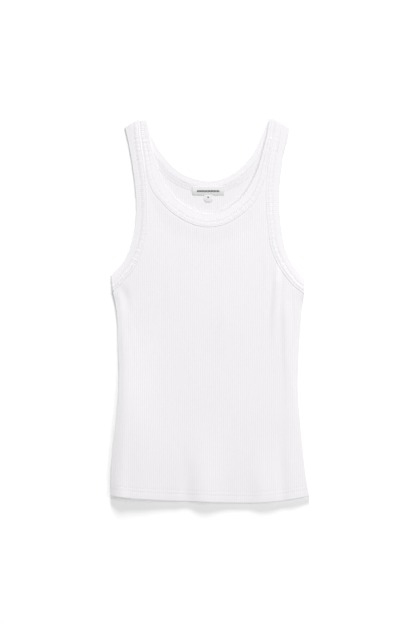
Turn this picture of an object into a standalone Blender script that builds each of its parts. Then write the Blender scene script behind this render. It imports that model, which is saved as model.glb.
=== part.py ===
"""A women's ribbed tank top, laid flat on its back on a table.

The garment is cut and sewn from a front panel, a back panel, one neck band, two armhole bands, a
woven label and a size tab. It lies face up: +Z points up from the table, +Y towards the shoulders
and +X to the right of someone who looks at its front. The origin is on the table under the middle
of the garment. Tables and sizes are in millimetres, and the meshes are made in metres.
"""

import math
from collections import namedtuple

import bpy
import numpy as np
from mathutils.geometry import delaunay_2d_cdt

MM = 0.001

# ---------------------------------------------------------------- driving sizes, in millimetres

PANEL_WALL = 1.2
HEM_WALL = 2.2
HEM_DEPTH = 18.0
BAND_WALL = 2.0
SEAM_GAP = 0.3

RIB_PITCH = 3.0
RIB_RELIEF = 0.5

FRONT_REST = BAND_WALL + SEAM_GAP + PANEL_WALL
FRONT_HEM_REST = 2 * HEM_WALL + SEAM_GAP
FRONT_EDGE_REST = 2 * PANEL_WALL + SEAM_GAP
HEM_RISE = 45.0
EDGE_ROLL = 9.0
ROLL_FADE = 16.0
BAND_PROUD = BAND_WALL - PANEL_WALL
BAND_CROWN = 0.5

LABEL_SIZE = (49.5, 12.8)
LABEL_CENTRE = (-1.8, 187.4)
LABEL_WALL = 1.0
TAB_SIZE = (13.2, 10.6)
TAB_TOP = LABEL_CENTRE[1] - LABEL_SIZE[1] / 2 - SEAM_GAP
TAB_CORNER = 4.0

# How finely the meshes follow the garment's lines.
ARM_STATIONS = 22
NECK_STATIONS = 34
FOLD_STEPS = 3
OUTLINE_STEP = 10.0
FRONT_ROW_STEP = 28.0
BACK_GRID_STEP = 34.0
EDGE_MARGIN = 1.0
HEM_STEP_WIDTH = 0.5
MERGE_DISTANCE = 0.5
LABEL_STEP = 6.0
TAB_CORNER_STEPS = 4
SHARP_ANGLE = math.radians(35.0)
MESH_TOLERANCE = 1e-6

# A panel ends in its straps where it has narrowed to this width, above this height.
TIP_WIDTH = 1.6
STRAP_FOOT = 100.0
TIP_SEARCH_STEPS = 400

# ---------------------------------------------------------------- shape tables, in millimetres

# The sides, from the underarm seam down to the hem's corner.
SidePoint = namedtuple("SidePoint", "x y")
SIDE_LEFT = [
    SidePoint(-152.4, 30.5),
    SidePoint(-148.9, 10.0),
    SidePoint(-146.0, -11.1),
    SidePoint(-145.0, -50.0),
    SidePoint(-144.2, -100.0),
    SidePoint(-147.1, -148.2),
    SidePoint(-152.0, -195.0),
    SidePoint(-155.5, -240.0),
    SidePoint(-156.2, -288.4),
]
SIDE_RIGHT = [
    SidePoint(147.9, 27.2),
    SidePoint(144.9, 10.8),
    SidePoint(142.6, -17.3),
    SidePoint(139.0, -76.5),
    SidePoint(138.2, -125.0),
    SidePoint(142.6, -182.4),
    SidePoint(147.5, -232.3),
    SidePoint(152.0, -265.0),
    SidePoint(156.2, -289.2),
]

# The hem's folded edge, from the left corner to the right one.
HemPoint = namedtuple("HemPoint", "x y")
HEM_LINE = [
    HemPoint(-156.2, -288.4),
    HemPoint(-123.5, -292.3),
    HemPoint(-76.8, -295.7),
    HemPoint(-30.1, -297.3),
    HemPoint(21.3, -299.2),
    HemPoint(71.2, -299.8),
    HemPoint(117.9, -295.7),
    HemPoint(156.2, -289.2),
]

# A band lies between an opening's free edge and the seam that joins it to a panel. Each row gives
# one place on the edge and the place on the seam straight across the band from it.
Across = namedtuple("Across", "edge_x edge_y seam_x seam_y")

# Armhole bands, from the underarm up to the shoulder. Front and back lie on each other.
ARM_LEFT = [
    Across(-153.3, 55.2, -149.7, 31.3),
    Across(-149.7, 60.1, -139.1, 40.0),
    Across(-143.2, 66.2, -128.8, 51.4),
    Across(-135.7, 74.8, -119.5, 62.2),
    Across(-129.6, 85.1, -110.8, 76.2),
    Across(-122.9, 102.7, -102.7, 96.9),
    Across(-118.1, 122.9, -97.2, 119.8),
    Across(-116.2, 155.6, -95.2, 155.6),
    Across(-118.9, 200.8, -97.8, 203.9),
    Across(-122.6, 225.8, -101.1, 230.4),
    Across(-126.7, 250.7, -104.9, 255.4),
    Across(-130.4, 269.4, -107.5, 275.6),
    Across(-133.4, 284.0, -109.8, 294.0),
]
ARM_RIGHT = [
    Across(147.7, 50.3, 145.4, 27.9),
    Across(143.3, 55.3, 134.3, 36.1),
    Across(136.6, 63.4, 123.1, 47.8),
    Across(128.1, 75.3, 112.5, 62.2),
    Across(121.1, 89.4, 102.4, 80.1),
    Across(116.1, 105.8, 95.3, 99.6),
    Across(112.8, 126.0, 91.8, 124.5),
    Across(109.6, 160.0, 88.4, 160.0),
    Across(110.2, 203.9, 88.8, 203.9),
    Across(112.5, 225.8, 91.8, 228.9),
    Across(115.9, 247.6, 96.1, 250.7),
    Across(120.3, 265.5, 100.2, 270.9),
    Across(124.4, 282.2, 104.4, 294.7),
]

# The neck band, from the left shoulder to the right one: the front scoop, then the back scoop.
NECK_FRONT = [
    Across(-97.4, 294.8, -109.3, 294.0),
    Across(-93.9, 275.6, -107.0, 274.8),
    Across(-89.9, 255.4, -104.2, 253.8),
    Across(-79.1, 220.3, -97.1, 210.2),
    Across(-71.8, 201.6, -90.5, 189.9),
    Across(-58.1, 182.9, -74.5, 168.9),
    Across(-40.2, 166.6, -54.2, 149.9),
    Across(-22.3, 156.9, -30.1, 136.2),
    Across(-1.2, 151.3, -2.0, 130.2),
    Across(18.2, 154.6, 23.7, 134.3),
    Across(36.1, 165.3, 47.8, 147.9),
    Across(53.3, 180.6, 68.9, 166.6),
    Across(66.5, 201.6, 83.0, 190.7),
    Across(76.7, 224.5, 90.4, 218.0),
    Across(83.7, 249.1, 95.5, 244.5),
    Across(89.3, 270.2, 99.7, 267.8),
    Across(93.6, 298.0, 103.9, 295.2),
]
NECK_BACK = [
    Across(-97.4, 294.8, -109.3, 294.0),
    Across(-90.1, 274.1, -105.6, 267.8),
    Across(-79.9, 253.8, -96.9, 243.2),
    Across(-65.9, 235.1, -80.5, 221.7),
    Across(-45.6, 216.4, -55.5, 199.1),
    Across(-22.3, 206.3, -28.2, 187.3),
    Across(-1.2, 202.7, -1.2, 182.8),
    Across(22.9, 207.1, 29.1, 188.1),
    Across(43.2, 218.7, 53.8, 201.9),
    Across(60.3, 235.1, 75.6, 222.3),
    Across(71.2, 250.7, 88.7, 241.8),
    Across(79.8, 269.4, 95.5, 262.8),
    Across(93.6, 298.0, 103.9, 295.2),
]

# A band's wall in section: across from the free edge (0) to the seam (1), and the depth from its
# outer face (0) to its inner one (1). The inner face is plain.
WallPoint = namedtuple("WallPoint", "across depth")
BAND_WALL_SECTION = [
    WallPoint(0.00, 0.35),
    WallPoint(0.05, 0.06),
    WallPoint(0.20, 0.00),
    WallPoint(0.50, 0.00),
    WallPoint(0.80, 0.00),
    WallPoint(0.96, 0.06),
    WallPoint(1.00, 0.30),
    WallPoint(1.00, 0.80),
    WallPoint(0.94, 1.00),
    WallPoint(0.50, 1.00),
    WallPoint(0.06, 1.00),
    WallPoint(0.00, 0.75),
]

# Folds of the front, each a soft ridge (or a trough, where its height is below zero) along a line
# from its upper end to its lower end. `peak` is how far down the line it is highest.
Fold = namedtuple("Fold", "x_top y_top x_low y_low height peak reach_left reach_right")
FOLDS = [
    Fold(-118.0, 15.0, -117.0, -300.0, 4.4, 1.0, 37.0, 62.0),
    Fold(-2.0, -165.0, -1.0, -300.0, 2.3, 1.0, 34.0, 34.0),
    Fold(84.0, -180.0, 85.0, -300.0, 2.0, 1.0, 27.0, 24.0),
    Fold(122.0, -60.0, 131.0, -300.0, 1.8, 1.0, 16.0, 22.0),
    Fold(107.5, 78.0, 98.0, -60.0, 1.7, 0.3, 8.0, 9.0),
    Fold(117.5, 58.0, 124.0, -190.0, 1.8, 0.3, 8.0, 15.0),
    Fold(-150.0, 34.0, -118.0, -150.0, 1.6, 0.35, 8.0, 11.0),
    Fold(-134.0, 44.0, -121.0, -30.0, -0.9, 0.35, 8.0, 10.0),
]

WHITE_RIB = (0.86, 0.855, 0.865, 1.0)
WHITE_BAND = (0.88, 0.875, 0.885, 1.0)
WHITE_WOVEN = (0.90, 0.90, 0.90, 1.0)
COTTON_ROUGHNESS = 0.9
SATIN_ROUGHNESS = 0.55


# ---------------------------------------------------------------- curves


def smooth_curve(rows, count, samples_per_span=24):
    """Return `count` rows, evenly spaced, on a smooth curve through every given row."""
    table = np.array(rows, dtype=float)
    chords = np.linalg.norm(np.diff(table[:, :2], axis=0), axis=1)
    knots = np.concatenate([[0.0], np.cumsum(chords)])
    slopes = np.gradient(table, knots, axis=0)
    dense = []
    for i in range(len(table) - 1):
        span = knots[i + 1] - knots[i]
        for t in np.linspace(0.0, 1.0, samples_per_span, endpoint=False):
            start = (2 * t**3 - 3 * t**2 + 1) * table[i] + (t**3 - 2 * t**2 + t) * span * slopes[i]
            end = (3 * t**2 - 2 * t**3) * table[i + 1] + (t**3 - t**2) * span * slopes[i + 1]
            dense.append(start + end)
    dense.append(table[-1])
    dense = np.array(dense)
    steps = np.linalg.norm(np.diff(dense[:, :2], axis=0), axis=1)
    along = np.concatenate([[0.0], np.cumsum(steps)])
    wanted = np.linspace(0.0, along[-1], count)
    columns = [np.interp(wanted, along, dense[:, k]) for k in range(dense.shape[1])]
    return np.stack(columns, axis=1)


def curve_length(rows):
    """Return the length of the straight runs between the rows."""
    points = np.array(rows, dtype=float)[:, :2]
    return float(np.linalg.norm(np.diff(points, axis=0), axis=1).sum())


def even_curve(rows, step):
    """Return a smooth curve through the rows with a point about every `step` millimetres."""
    return smooth_curve(rows, int(curve_length(rows) / step) + 2)


def smooth_step(value):
    """Rise softly from 0 to 1 as the value goes from 0 to 1."""
    t = np.clip(value, 0.0, 1.0)
    return t * t * (3.0 - 2.0 * t)


# ---------------------------------------------------------------- the garment's lines

LEFT_SIDE = even_curve(SIDE_LEFT, OUTLINE_STEP)
RIGHT_SIDE = even_curve(SIDE_RIGHT, OUTLINE_STEP)
HEM_EDGE = even_curve(HEM_LINE, OUTLINE_STEP)
LEFT_ARM = smooth_curve(ARM_LEFT, ARM_STATIONS)
RIGHT_ARM = smooth_curve(ARM_RIGHT, ARM_STATIONS)


def seam_x(arm, y):
    """Return the X of an armhole seam at height `y`, on its run up the strap."""
    return np.interp(y, arm[:, 3], arm[:, 2])


def fit_between_arms(stations):
    """Keep the neck band's seam clear of both armhole bands where they meet in the straps."""
    fitted = stations.copy()
    for row in fitted:
        left_limit = seam_x(LEFT_ARM, row[3]) + SEAM_GAP
        right_limit = seam_x(RIGHT_ARM, row[3]) - SEAM_GAP
        row[2] = min(max(row[2], left_limit), right_limit)
    return fitted


FRONT_NECK = fit_between_arms(smooth_curve(NECK_FRONT, NECK_STATIONS))
BACK_NECK = fit_between_arms(smooth_curve(NECK_BACK, NECK_STATIONS))


# ---------------------------------------------------------------- heights of the front layer


def hem_offset(x, y):
    """Return how far a point lies up from the hem's edge."""
    return y - np.interp(x, HEM_EDGE[:, 0], HEM_EDGE[:, 1])


def side_distance(x, y):
    """Return how far a point lies in from the nearer side of the body."""
    left = x - np.interp(-y, -LEFT_SIDE[:, 1], LEFT_SIDE[:, 0])
    right = np.interp(-y, -RIGHT_SIDE[:, 1], RIGHT_SIDE[:, 0]) - x
    return np.minimum(left, right)


def fold_height(fold, x, y):
    """Return one fold's height at a point, with soft flanks and a soft start and end."""
    t = np.clip((fold.y_top - y) / (fold.y_top - fold.y_low), 0.0, 1.0)
    x_line = fold.x_top + t * (fold.x_low - fold.x_top)
    offset = x - x_line
    reach = np.where(offset < 0.0, fold.reach_left, fold.reach_right)
    flank = np.cos(np.clip(offset / reach, -1.0, 1.0) * math.pi / 2) ** 2
    rise = smooth_step(t / fold.peak)
    fall = 1.0 - smooth_step((t - fold.peak) / max(1.0 - fold.peak, 0.001))
    return fold.height * flank * np.where(t < fold.peak, rise, np.maximum(fall, 0.0))


def hem_share(x, y):
    """Return 1 on the hem, falling to 0 a little way up the body."""
    return 1.0 - smooth_step((hem_offset(x, y) - HEM_DEPTH) / HEM_RISE)


def front_height(x, y):
    """Return the height of the front's outer face over the table, before ribs and edges."""
    rest = FRONT_REST + (FRONT_HEM_REST - FRONT_REST) * hem_share(x, y)
    return rest + sum(fold_height(fold, x, y) for fold in FOLDS)


def front_panel_height(x, y):
    """Return the front panel's outer face, which rolls down to the back panel along the sides."""
    beside = 1.0 - smooth_step(side_distance(x, y) / EDGE_ROLL)
    below_band = smooth_step((LEFT_SIDE[0, 1] - y) / ROLL_FADE)
    drop = (FRONT_REST - FRONT_EDGE_REST) * beside * below_band * (1.0 - hem_share(x, y))
    return front_height(x, y) - drop


def wall_of(x, y):
    """Return a panel's wall: double where the hem is turned up."""
    return np.where(hem_offset(x, y) < HEM_DEPTH, HEM_WALL, PANEL_WALL)


# ---------------------------------------------------------------- meshes


def add_object(name, vertices, faces, colour, roughness):
    """Make a named object from points in millimetres, with a plain material of its own."""
    mesh = bpy.data.meshes.new(name)
    mesh.from_pydata([tuple(c * MM for c in v) for v in vertices], [], faces)
    mesh.validate()
    mesh.update()
    material = bpy.data.materials.new(name)
    material.use_nodes = True
    shader = material.node_tree.nodes["Principled BSDF"]
    shader.inputs["Base Color"].default_value = colour
    shader.inputs["Roughness"].default_value = roughness
    shader.inputs["Metallic"].default_value = 0.0
    mesh.materials.append(material)
    mesh.shade_smooth()
    mesh.set_sharp_from_angle(angle=SHARP_ANGLE)
    piece = bpy.data.objects.new(name, mesh)
    bpy.context.scene.collection.objects.link(piece)
    return piece


def fill_outline(outline, lines):
    """Triangulate an outline, keeping inner lines of points; return the points and triangles.

    The outline's own points come first, in their order.
    """
    points = [tuple(p) for p in outline]
    edges = [(i, (i + 1) % len(outline)) for i in range(len(outline))]
    for line in lines:
        first = len(points)
        points.extend(tuple(p) for p in line)
        edges.extend((i, i + 1) for i in range(first, len(points) - 1))
    result = delaunay_2d_cdt(points, edges, [], 1, MESH_TOLERANCE)
    placed, faces, sources = result[0], result[2], result[3]
    order = {}
    for new, olds in enumerate(sources):
        for old in olds:
            order[old] = new
    ranked = [order[i] for i in range(len(points))]
    index = {new: i for i, new in enumerate(ranked)}
    flat = [tuple(placed[new]) for new in ranked]
    return flat, [tuple(index[v] for v in face) for face in faces]


def cloth_between(outline, outer_lines, outer_z, inner_lines, inner_z):
    """Return a closed wall between an outer face above and an inner face below, on one outline."""
    top_points, top_faces = fill_outline(outline, outer_lines)
    low_points, low_faces = fill_outline(outline, inner_lines)
    start = len(top_points)
    vertices = [(x, y, float(outer_z(x, y))) for x, y in top_points]
    vertices += [(x, y, float(inner_z(x, y))) for x, y in low_points]
    faces = list(top_faces)
    faces += [tuple(start + v for v in reversed(face)) for face in low_faces]
    count = len(outline)
    for i in range(count):
        j = (i + 1) % count
        faces.append((i, start + i, start + j))
        faces.append((i, start + j, j))
    return vertices, faces


def crossings(outline, x):
    """Return the heights at which a vertical line at `x` crosses the outline, from low to high."""
    found = []
    count = len(outline)
    for i in range(count):
        x0, y0 = outline[i]
        x1, y1 = outline[(i + 1) % count]
        if (x0 <= x) != (x1 <= x):
            found.append(y0 + (x - x0) * (y1 - y0) / (x1 - x0))
    return sorted(found)


def column_lines(outline, columns, row_step, margin):
    """Return upright lines of points inside the outline, with two rows at the hem's top edge."""
    lines = []
    for x in columns:
        heights = crossings(outline, x)
        for low, high in zip(heights[0::2], heights[1::2]):
            low += margin
            high -= margin
            if high - low < 2 * margin:
                continue
            count = max(2, int((high - low) / row_step) + 2)
            rows = list(np.linspace(low, high, count))
            hem_top = float(np.interp(x, HEM_EDGE[:, 0], HEM_EDGE[:, 1])) + HEM_DEPTH
            if low < hem_top - margin and high > hem_top + margin:
                rows = [y for y in rows if abs(y - hem_top) > margin]
                rows += [hem_top - HEM_STEP_WIDTH / 2, hem_top + HEM_STEP_WIDTH / 2]
                rows.sort()
            lines.append([(x, y) for y in rows])
    return lines


# ---------------------------------------------------------------- panels


def inset_seam(stations, gap):
    """Return the seam's points moved off the band and onto the panel by the gap."""
    edge = stations[:, 0:2]
    seam = stations[:, 2:4]
    across = (seam - edge) / np.linalg.norm(seam - edge, axis=1)[:, None]
    return seam + across * gap


def strap_tip(arm_line, neck_line):
    """Return the height at which the panel has narrowed to its tip between two seams."""
    low = max(neck_line[:, 1].min(), STRAP_FOOT)
    high = min(arm_line[-1, 1], neck_line[:, 1].max())
    heights = np.linspace(low, high, TIP_SEARCH_STEPS)
    arm_x = np.interp(heights, arm_line[:, 1], arm_line[:, 0])
    ordered = neck_line[np.argsort(neck_line[:, 1])]
    neck_x = np.interp(heights, ordered[:, 1], ordered[:, 0])
    wide = np.abs(neck_x - arm_x) > TIP_WIDTH
    first_narrow = np.argmin(wide) if not wide.all() else len(heights) - 1
    return heights[first_narrow]


def below(line, height):
    """Return the part of a rising line below a height, ended exactly at it."""
    kept = line[line[:, 1] < height]
    x_end = np.interp(height, line[:, 1], line[:, 0])
    if height - kept[-1, 1] < EDGE_MARGIN:
        kept = kept[:-1]
    return np.vstack([kept, [x_end, height]])


def panel_outline(neck_stations):
    """Return a panel's outline, counter-clockwise from the hem's left corner."""
    left_arm = inset_seam(LEFT_ARM, SEAM_GAP)
    right_arm = inset_seam(RIGHT_ARM, SEAM_GAP)
    neck = inset_seam(neck_stations, SEAM_GAP)
    lowest = int(np.argmin(neck[:, 1]))
    left_neck = neck[: lowest + 1][::-1]
    right_neck = neck[lowest:]
    left_tip = strap_tip(left_arm, left_neck)
    right_tip = strap_tip(right_arm, right_neck)
    right_arm = below(right_arm, right_tip)
    right_neck = below(right_neck, right_tip)[::-1]
    left_neck = below(left_neck, left_tip)
    left_arm = below(left_arm, left_tip)[::-1]
    parts = [HEM_EDGE, RIGHT_SIDE[::-1][1:], right_arm, right_neck, left_neck[1:], left_arm]
    parts.append(LEFT_SIDE[:-1])
    outline = [(float(x), float(y)) for x, y in np.vstack(parts)]
    cleaned = [outline[0]]
    for point in outline[1:]:
        if math.dist(point, cleaned[-1]) > MERGE_DISTANCE:
            cleaned.append(point)
    return cleaned


def build_front_panel():
    """Build the front: ribs raised on its outer face over a plain inner face."""
    outline = panel_outline(FRONT_NECK)
    widest = max(abs(x) for x, y in outline)
    ribs = int(widest / RIB_PITCH)
    furrows = [k * RIB_PITCH for k in range(-ribs, ribs + 1)]
    crests = [x + RIB_PITCH / 2 for x in furrows]
    crest_set = set(crests)
    outer_lines = column_lines(outline, sorted(furrows + crests), FRONT_ROW_STEP, EDGE_MARGIN)
    inner_lines = column_lines(outline, furrows, FRONT_ROW_STEP, EDGE_MARGIN)
    inside = {point for line in outer_lines for point in line}
    rounded = {(round(x, 2), round(y, 2)) for x, y in inside if x in crest_set}

    def outer(x, y):
        raised = RIB_RELIEF if (round(x, 2), round(y, 2)) in rounded else 0.0
        return front_panel_height(x, y) + raised

    def inner(x, y):
        return front_panel_height(x, y) - wall_of(x, y)

    vertices, faces = cloth_between(outline, outer_lines, outer, inner_lines, inner)
    return add_object("front_panel", vertices, faces, WHITE_RIB, COTTON_ROUGHNESS)


def build_back_panel():
    """Build the back: flat on the table, with its hem turned up on its inner face."""
    outline = panel_outline(BACK_NECK)
    widest = max(abs(x) for x, y in outline)
    count = int(widest / BACK_GRID_STEP)
    columns = [k * BACK_GRID_STEP for k in range(-count, count + 1)]
    lines = column_lines(outline, columns, 2 * BACK_GRID_STEP, EDGE_MARGIN)
    vertices, faces = cloth_between(outline, lines, wall_of, [], lambda x, y: 0.0)
    return add_object("back_panel", vertices, faces, WHITE_RIB, COTTON_ROUGHNESS)


# ---------------------------------------------------------------- bands


def outer_face(layer, x, y, across):
    """Return the height of a band's outer face: 0 below the back, crowned on the front."""
    if layer == "back":
        return 0.0
    crown = BAND_CROWN * math.sin(math.pi * across)
    return float(front_height(x, y)) + BAND_PROUD + crown


def band_ring(layer, station, turn=None):
    """Return one ring of a band's wall, flat in a layer or part-way round a fold.

    `turn` runs from 0 on the back to 1 on the front, and is None away from the folds. The fold's
    outward side is to the left of the direction from the edge to the seam, or to its right where
    `turn` is negative.
    """
    edge = np.array(station[0:2])
    seam = np.array(station[2:4])
    across = (seam - edge) / np.linalg.norm(seam - edge)
    ring = []
    for point in BAND_WALL_SECTION:
        x, y = edge + point.across * (seam - edge)
        depth = point.depth * BAND_WALL
        if turn is None:
            face = outer_face(layer, x, y, point.across)
            crown = face - outer_face(layer, x, y, 0.0)
            rise = depth if layer == "back" else -depth - crown * point.depth
            ring.append((x, y, face + rise))
            continue
        top = outer_face("front", x, y, 0.0)
        radius = top / 2 - depth
        angle = math.pi * abs(turn)
        outward = np.array([-across[1], across[0]]) * math.copysign(1.0, turn)
        x, y = np.array([x, y]) + outward * radius * math.sin(angle)
        ring.append((x, y, top / 2 - radius * math.cos(angle)))
    return ring


def fold_rings(station, side, rising):
    """Return the rings that carry a band round a fold, between its back and its front."""
    turns = [(k + 1) / (FOLD_STEPS + 1) for k in range(FOLD_STEPS)]
    if not rising:
        turns.reverse()
    return [band_ring(None, station, side * turn) for turn in turns]


def close_ring_loop(rings):
    """Return the vertices and faces of a tube through a closed loop of rings."""
    size = len(rings[0])
    vertices = [point for ring in rings for point in ring]
    faces = []
    for r in range(len(rings)):
        here = r * size
        there = ((r + 1) % len(rings)) * size
        for k in range(size):
            j = (k + 1) % size
            faces.append((here + k, here + j, there + j))
            faces.append((here + k, there + j, there + k))
    return vertices, faces


def face_outwards(vertices, faces):
    """Turn every face over if the closed shape they make is inside out."""
    points = np.array(vertices)
    volume = 0.0
    for a, b, c in faces:
        volume += float(np.dot(points[a], np.cross(points[b], points[c])))
    return faces if volume > 0.0 else [tuple(reversed(face)) for face in faces]


def build_band(name, back, front, start_side, end_side):
    """Build a closed band: along the back, over a fold, along the front, over the other fold."""
    rings = [band_ring("back", row) for row in back]
    rings += fold_rings(back[-1], end_side, rising=True)
    rings += [band_ring("front", row) for row in front[::-1]]
    rings += fold_rings(back[0], start_side, rising=False)
    vertices, faces = close_ring_loop(rings)
    faces = face_outwards(vertices, faces)
    return add_object(name, vertices, faces, WHITE_BAND, COTTON_ROUGHNESS)


# ---------------------------------------------------------------- label and tab


def rectangle(centre, size, step):
    """Return a rectangle's outline, counter-clockwise, with a point about every `step`."""
    half_w, half_h = size[0] / 2, size[1] / 2
    corners = [(-half_w, -half_h), (half_w, -half_h), (half_w, half_h), (-half_w, half_h)]
    outline = []
    for i, (x0, y0) in enumerate(corners):
        x1, y1 = corners[(i + 1) % 4]
        count = max(1, round(math.dist((x0, y0), (x1, y1)) / step))
        for k in range(count):
            t = k / count
            outline.append((centre[0] + x0 + t * (x1 - x0), centre[1] + y0 + t * (y1 - y0)))
    return outline


def tab_outline():
    """Return the tab's outline: square above, with two round corners below."""
    half = TAB_SIZE[0] / 2
    x_mid = LABEL_CENTRE[0]
    low = TAB_TOP - TAB_SIZE[1]
    outline = []
    for side, start in ((-1, math.pi), (1, 1.5 * math.pi)):
        cx = x_mid + side * (half - TAB_CORNER)
        for k in range(TAB_CORNER_STEPS + 1):
            angle = start + k * math.pi / 2 / TAB_CORNER_STEPS
            x = cx + TAB_CORNER * math.cos(angle)
            outline.append((x, low + TAB_CORNER + TAB_CORNER * math.sin(angle)))
    outline.append((x_mid + half, TAB_TOP))
    outline.append((x_mid - half, TAB_TOP))
    return outline


def build_plate(name, outline, base):
    """Build a thin flat piece that lies on the inside of the back at a height."""

    def upper(x, y):
        return base + LABEL_WALL

    def lower(x, y):
        return base

    vertices, faces = cloth_between(outline, [], upper, [], lower)
    return add_object(name, vertices, faces, WHITE_WOVEN, SATIN_ROUGHNESS)


# ---------------------------------------------------------------- the garment


def clear_scene():
    """Remove whatever objects the open file holds."""
    for item in list(bpy.context.scene.objects):
        bpy.data.objects.remove(item, do_unlink=True)


def build_garment():
    """Build every piece of the tank top."""
    clear_scene()
    build_back_panel()
    build_front_panel()
    build_band("armhole_band_left", LEFT_ARM, LEFT_ARM, start_side=-1, end_side=1)
    build_band("armhole_band_right", RIGHT_ARM, RIGHT_ARM, start_side=1, end_side=-1)
    build_band("neck_band", BACK_NECK, FRONT_NECK, start_side=-1, end_side=1)
    build_plate("main_label", rectangle(LABEL_CENTRE, LABEL_SIZE, LABEL_STEP), BAND_WALL + SEAM_GAP)
    build_plate("size_tab", tab_outline(), PANEL_WALL + SEAM_GAP)


build_garment()
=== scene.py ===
"""The looks of a women's ribbed tank top that lies face up on a table.

Every sewn piece is a thin shell of rib knit on the form of its solid: a front and a back panel, a
neck band, two armhole bands, a woven label and a size tab. Stitches follow the hem and the bands.
Tables and sizes are in millimetres, and the meshes are made in metres. +Z points up from the
table, +Y towards the shoulders and +X to the right of someone who looks at the front.
"""

import logging
import math
from dataclasses import dataclass, field
from enum import Enum
from typing import Any, Callable, NamedTuple, Optional, Sequence

import bpy
import numpy as np
from mathutils import Matrix, Vector


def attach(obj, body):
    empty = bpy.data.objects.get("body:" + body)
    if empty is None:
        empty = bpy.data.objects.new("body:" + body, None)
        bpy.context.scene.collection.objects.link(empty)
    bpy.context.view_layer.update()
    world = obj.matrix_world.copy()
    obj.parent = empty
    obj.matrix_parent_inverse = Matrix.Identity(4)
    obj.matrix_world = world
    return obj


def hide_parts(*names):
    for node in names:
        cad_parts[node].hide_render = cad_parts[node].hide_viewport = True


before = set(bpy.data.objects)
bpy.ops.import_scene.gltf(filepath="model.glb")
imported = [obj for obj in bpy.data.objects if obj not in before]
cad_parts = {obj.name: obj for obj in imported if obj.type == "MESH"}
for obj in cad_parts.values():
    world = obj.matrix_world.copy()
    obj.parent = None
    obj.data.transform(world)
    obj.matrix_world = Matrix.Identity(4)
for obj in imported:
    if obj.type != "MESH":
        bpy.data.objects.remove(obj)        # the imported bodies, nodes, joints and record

LOG = logging.getLogger("tank_top")
BODY = "root"
MM = 0.001
Array = np.ndarray
Piece = bpy.types.Object
Material = bpy.types.Material
Socket = bpy.types.NodeSocket

# ---------------------------------------------------------------- driving sizes, in millimetres

PANEL_WALL = 1.2
HEM_WALL = 2.2
HEM_DEPTH = 18.0
BAND_WALL = 2.0
SEAM_GAP = 0.3
# How far a panel's edge runs in under a band, and the neck's seam under an armhole band's.
SEAM_TUCK = 0.6
STRAP_TUCK = 0.5

# A rib's mean height is RIB_MEAN of its crest's.
RIB_PITCH = 3.0
RIB_RELIEF = 0.125
RIB_MEAN = 0.69
BAND_RIB_RELIEF = 0.1
COLUMNS_PER_RIB = 4

# How near the neck's seam comes to an armhole's before it starts to tuck under it, how near before
# it counts as under it, and over what distance either sets in.
STRAP_MEETING = 3.0
STRAP_UNDER = 2.5
STRAP_FADE = 2.0

# How high the front's outer face lies on the body, on the hem and on the body's sides, how far up
# the hem is felt, and over what distance the sides roll down.
FRONT_REST = BAND_WALL + SEAM_GAP + PANEL_WALL
FRONT_HEM_REST = 2 * HEM_WALL + SEAM_GAP
FRONT_EDGE_REST = 2 * PANEL_WALL + SEAM_GAP
HEM_RISE = 250.0
EDGE_ROLL = 9.0
ROLL_FADE = 16.0
BAND_PROUD = BAND_WALL - PANEL_WALL

# An edge is drawn sharp where the cloth turns by more than this many degrees.
SHARP_TURN = 50.0

# The twin needle's lines: up from the hem's edge, and in from a band's seam.
HEM_NEEDLES = (11.4, 17.2)
BAND_NEEDLES = (3.4, 9.8)

LABEL_SIZE = (49.5, 12.8)
LABEL_CENTRE = (-1.8, 187.4)
TAB_SIZE = (13.2, 10.6)
TAB_TOP = LABEL_CENTRE[1] - LABEL_SIZE[1] / 2 - SEAM_GAP
TAB_CORNER = 4.0

# ---------------------------------------------------------------- shape tables, in millimetres


class LinePoint(NamedTuple):
    """A place on an edge of the garment."""

    x: float
    y: float


class Across(NamedTuple):
    """A place on an opening's free edge and the place on its seam straight across the band."""

    edge_x: float
    edge_y: float
    seam_x: float
    seam_y: float


class Fold(NamedTuple):
    """A soft ridge, or a trough where its height is below zero, along a line down the front."""

    x_top: float
    y_top: float
    x_low: float
    y_low: float
    height: float
    peak: float
    reach_left: float
    reach_right: float


def named_rows(kind: Callable[..., Any], numbers: Sequence[Sequence[float]]) -> list[Any]:
    """Return a table's rows of numbers as rows of a named kind."""
    return [kind(*row) for row in numbers]


# The sides, from the underarm seam down to the hem's corner.
SIDE_LEFT = named_rows(LinePoint, [
    (-150.7, 30.5), (-146.4, 10.0), (-143.5, -11.1),
    (-142.4, -50.0), (-140.5, -100.0), (-142.9, -148.2),
    (-148.5, -195.0), (-152.6, -240.0), (-153.9, -288.4),
])
SIDE_RIGHT = named_rows(LinePoint, [
    (147.9, 27.2), (144.9, 10.8), (142.6, -17.3),
    (139.0, -76.5), (138.2, -125.0), (142.6, -182.4),
    (147.5, -232.3), (152.0, -265.0), (156.2, -289.2),
])

# The hem's folded edge, from the left corner to the right one.
HEM_LINE = named_rows(LinePoint, [
    (-156.2, -288.4), (-123.5, -292.3), (-76.8, -295.7), (-30.1, -297.3),
    (21.3, -299.2), (71.2, -299.8), (117.9, -295.7), (156.2, -289.2),
])

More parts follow.
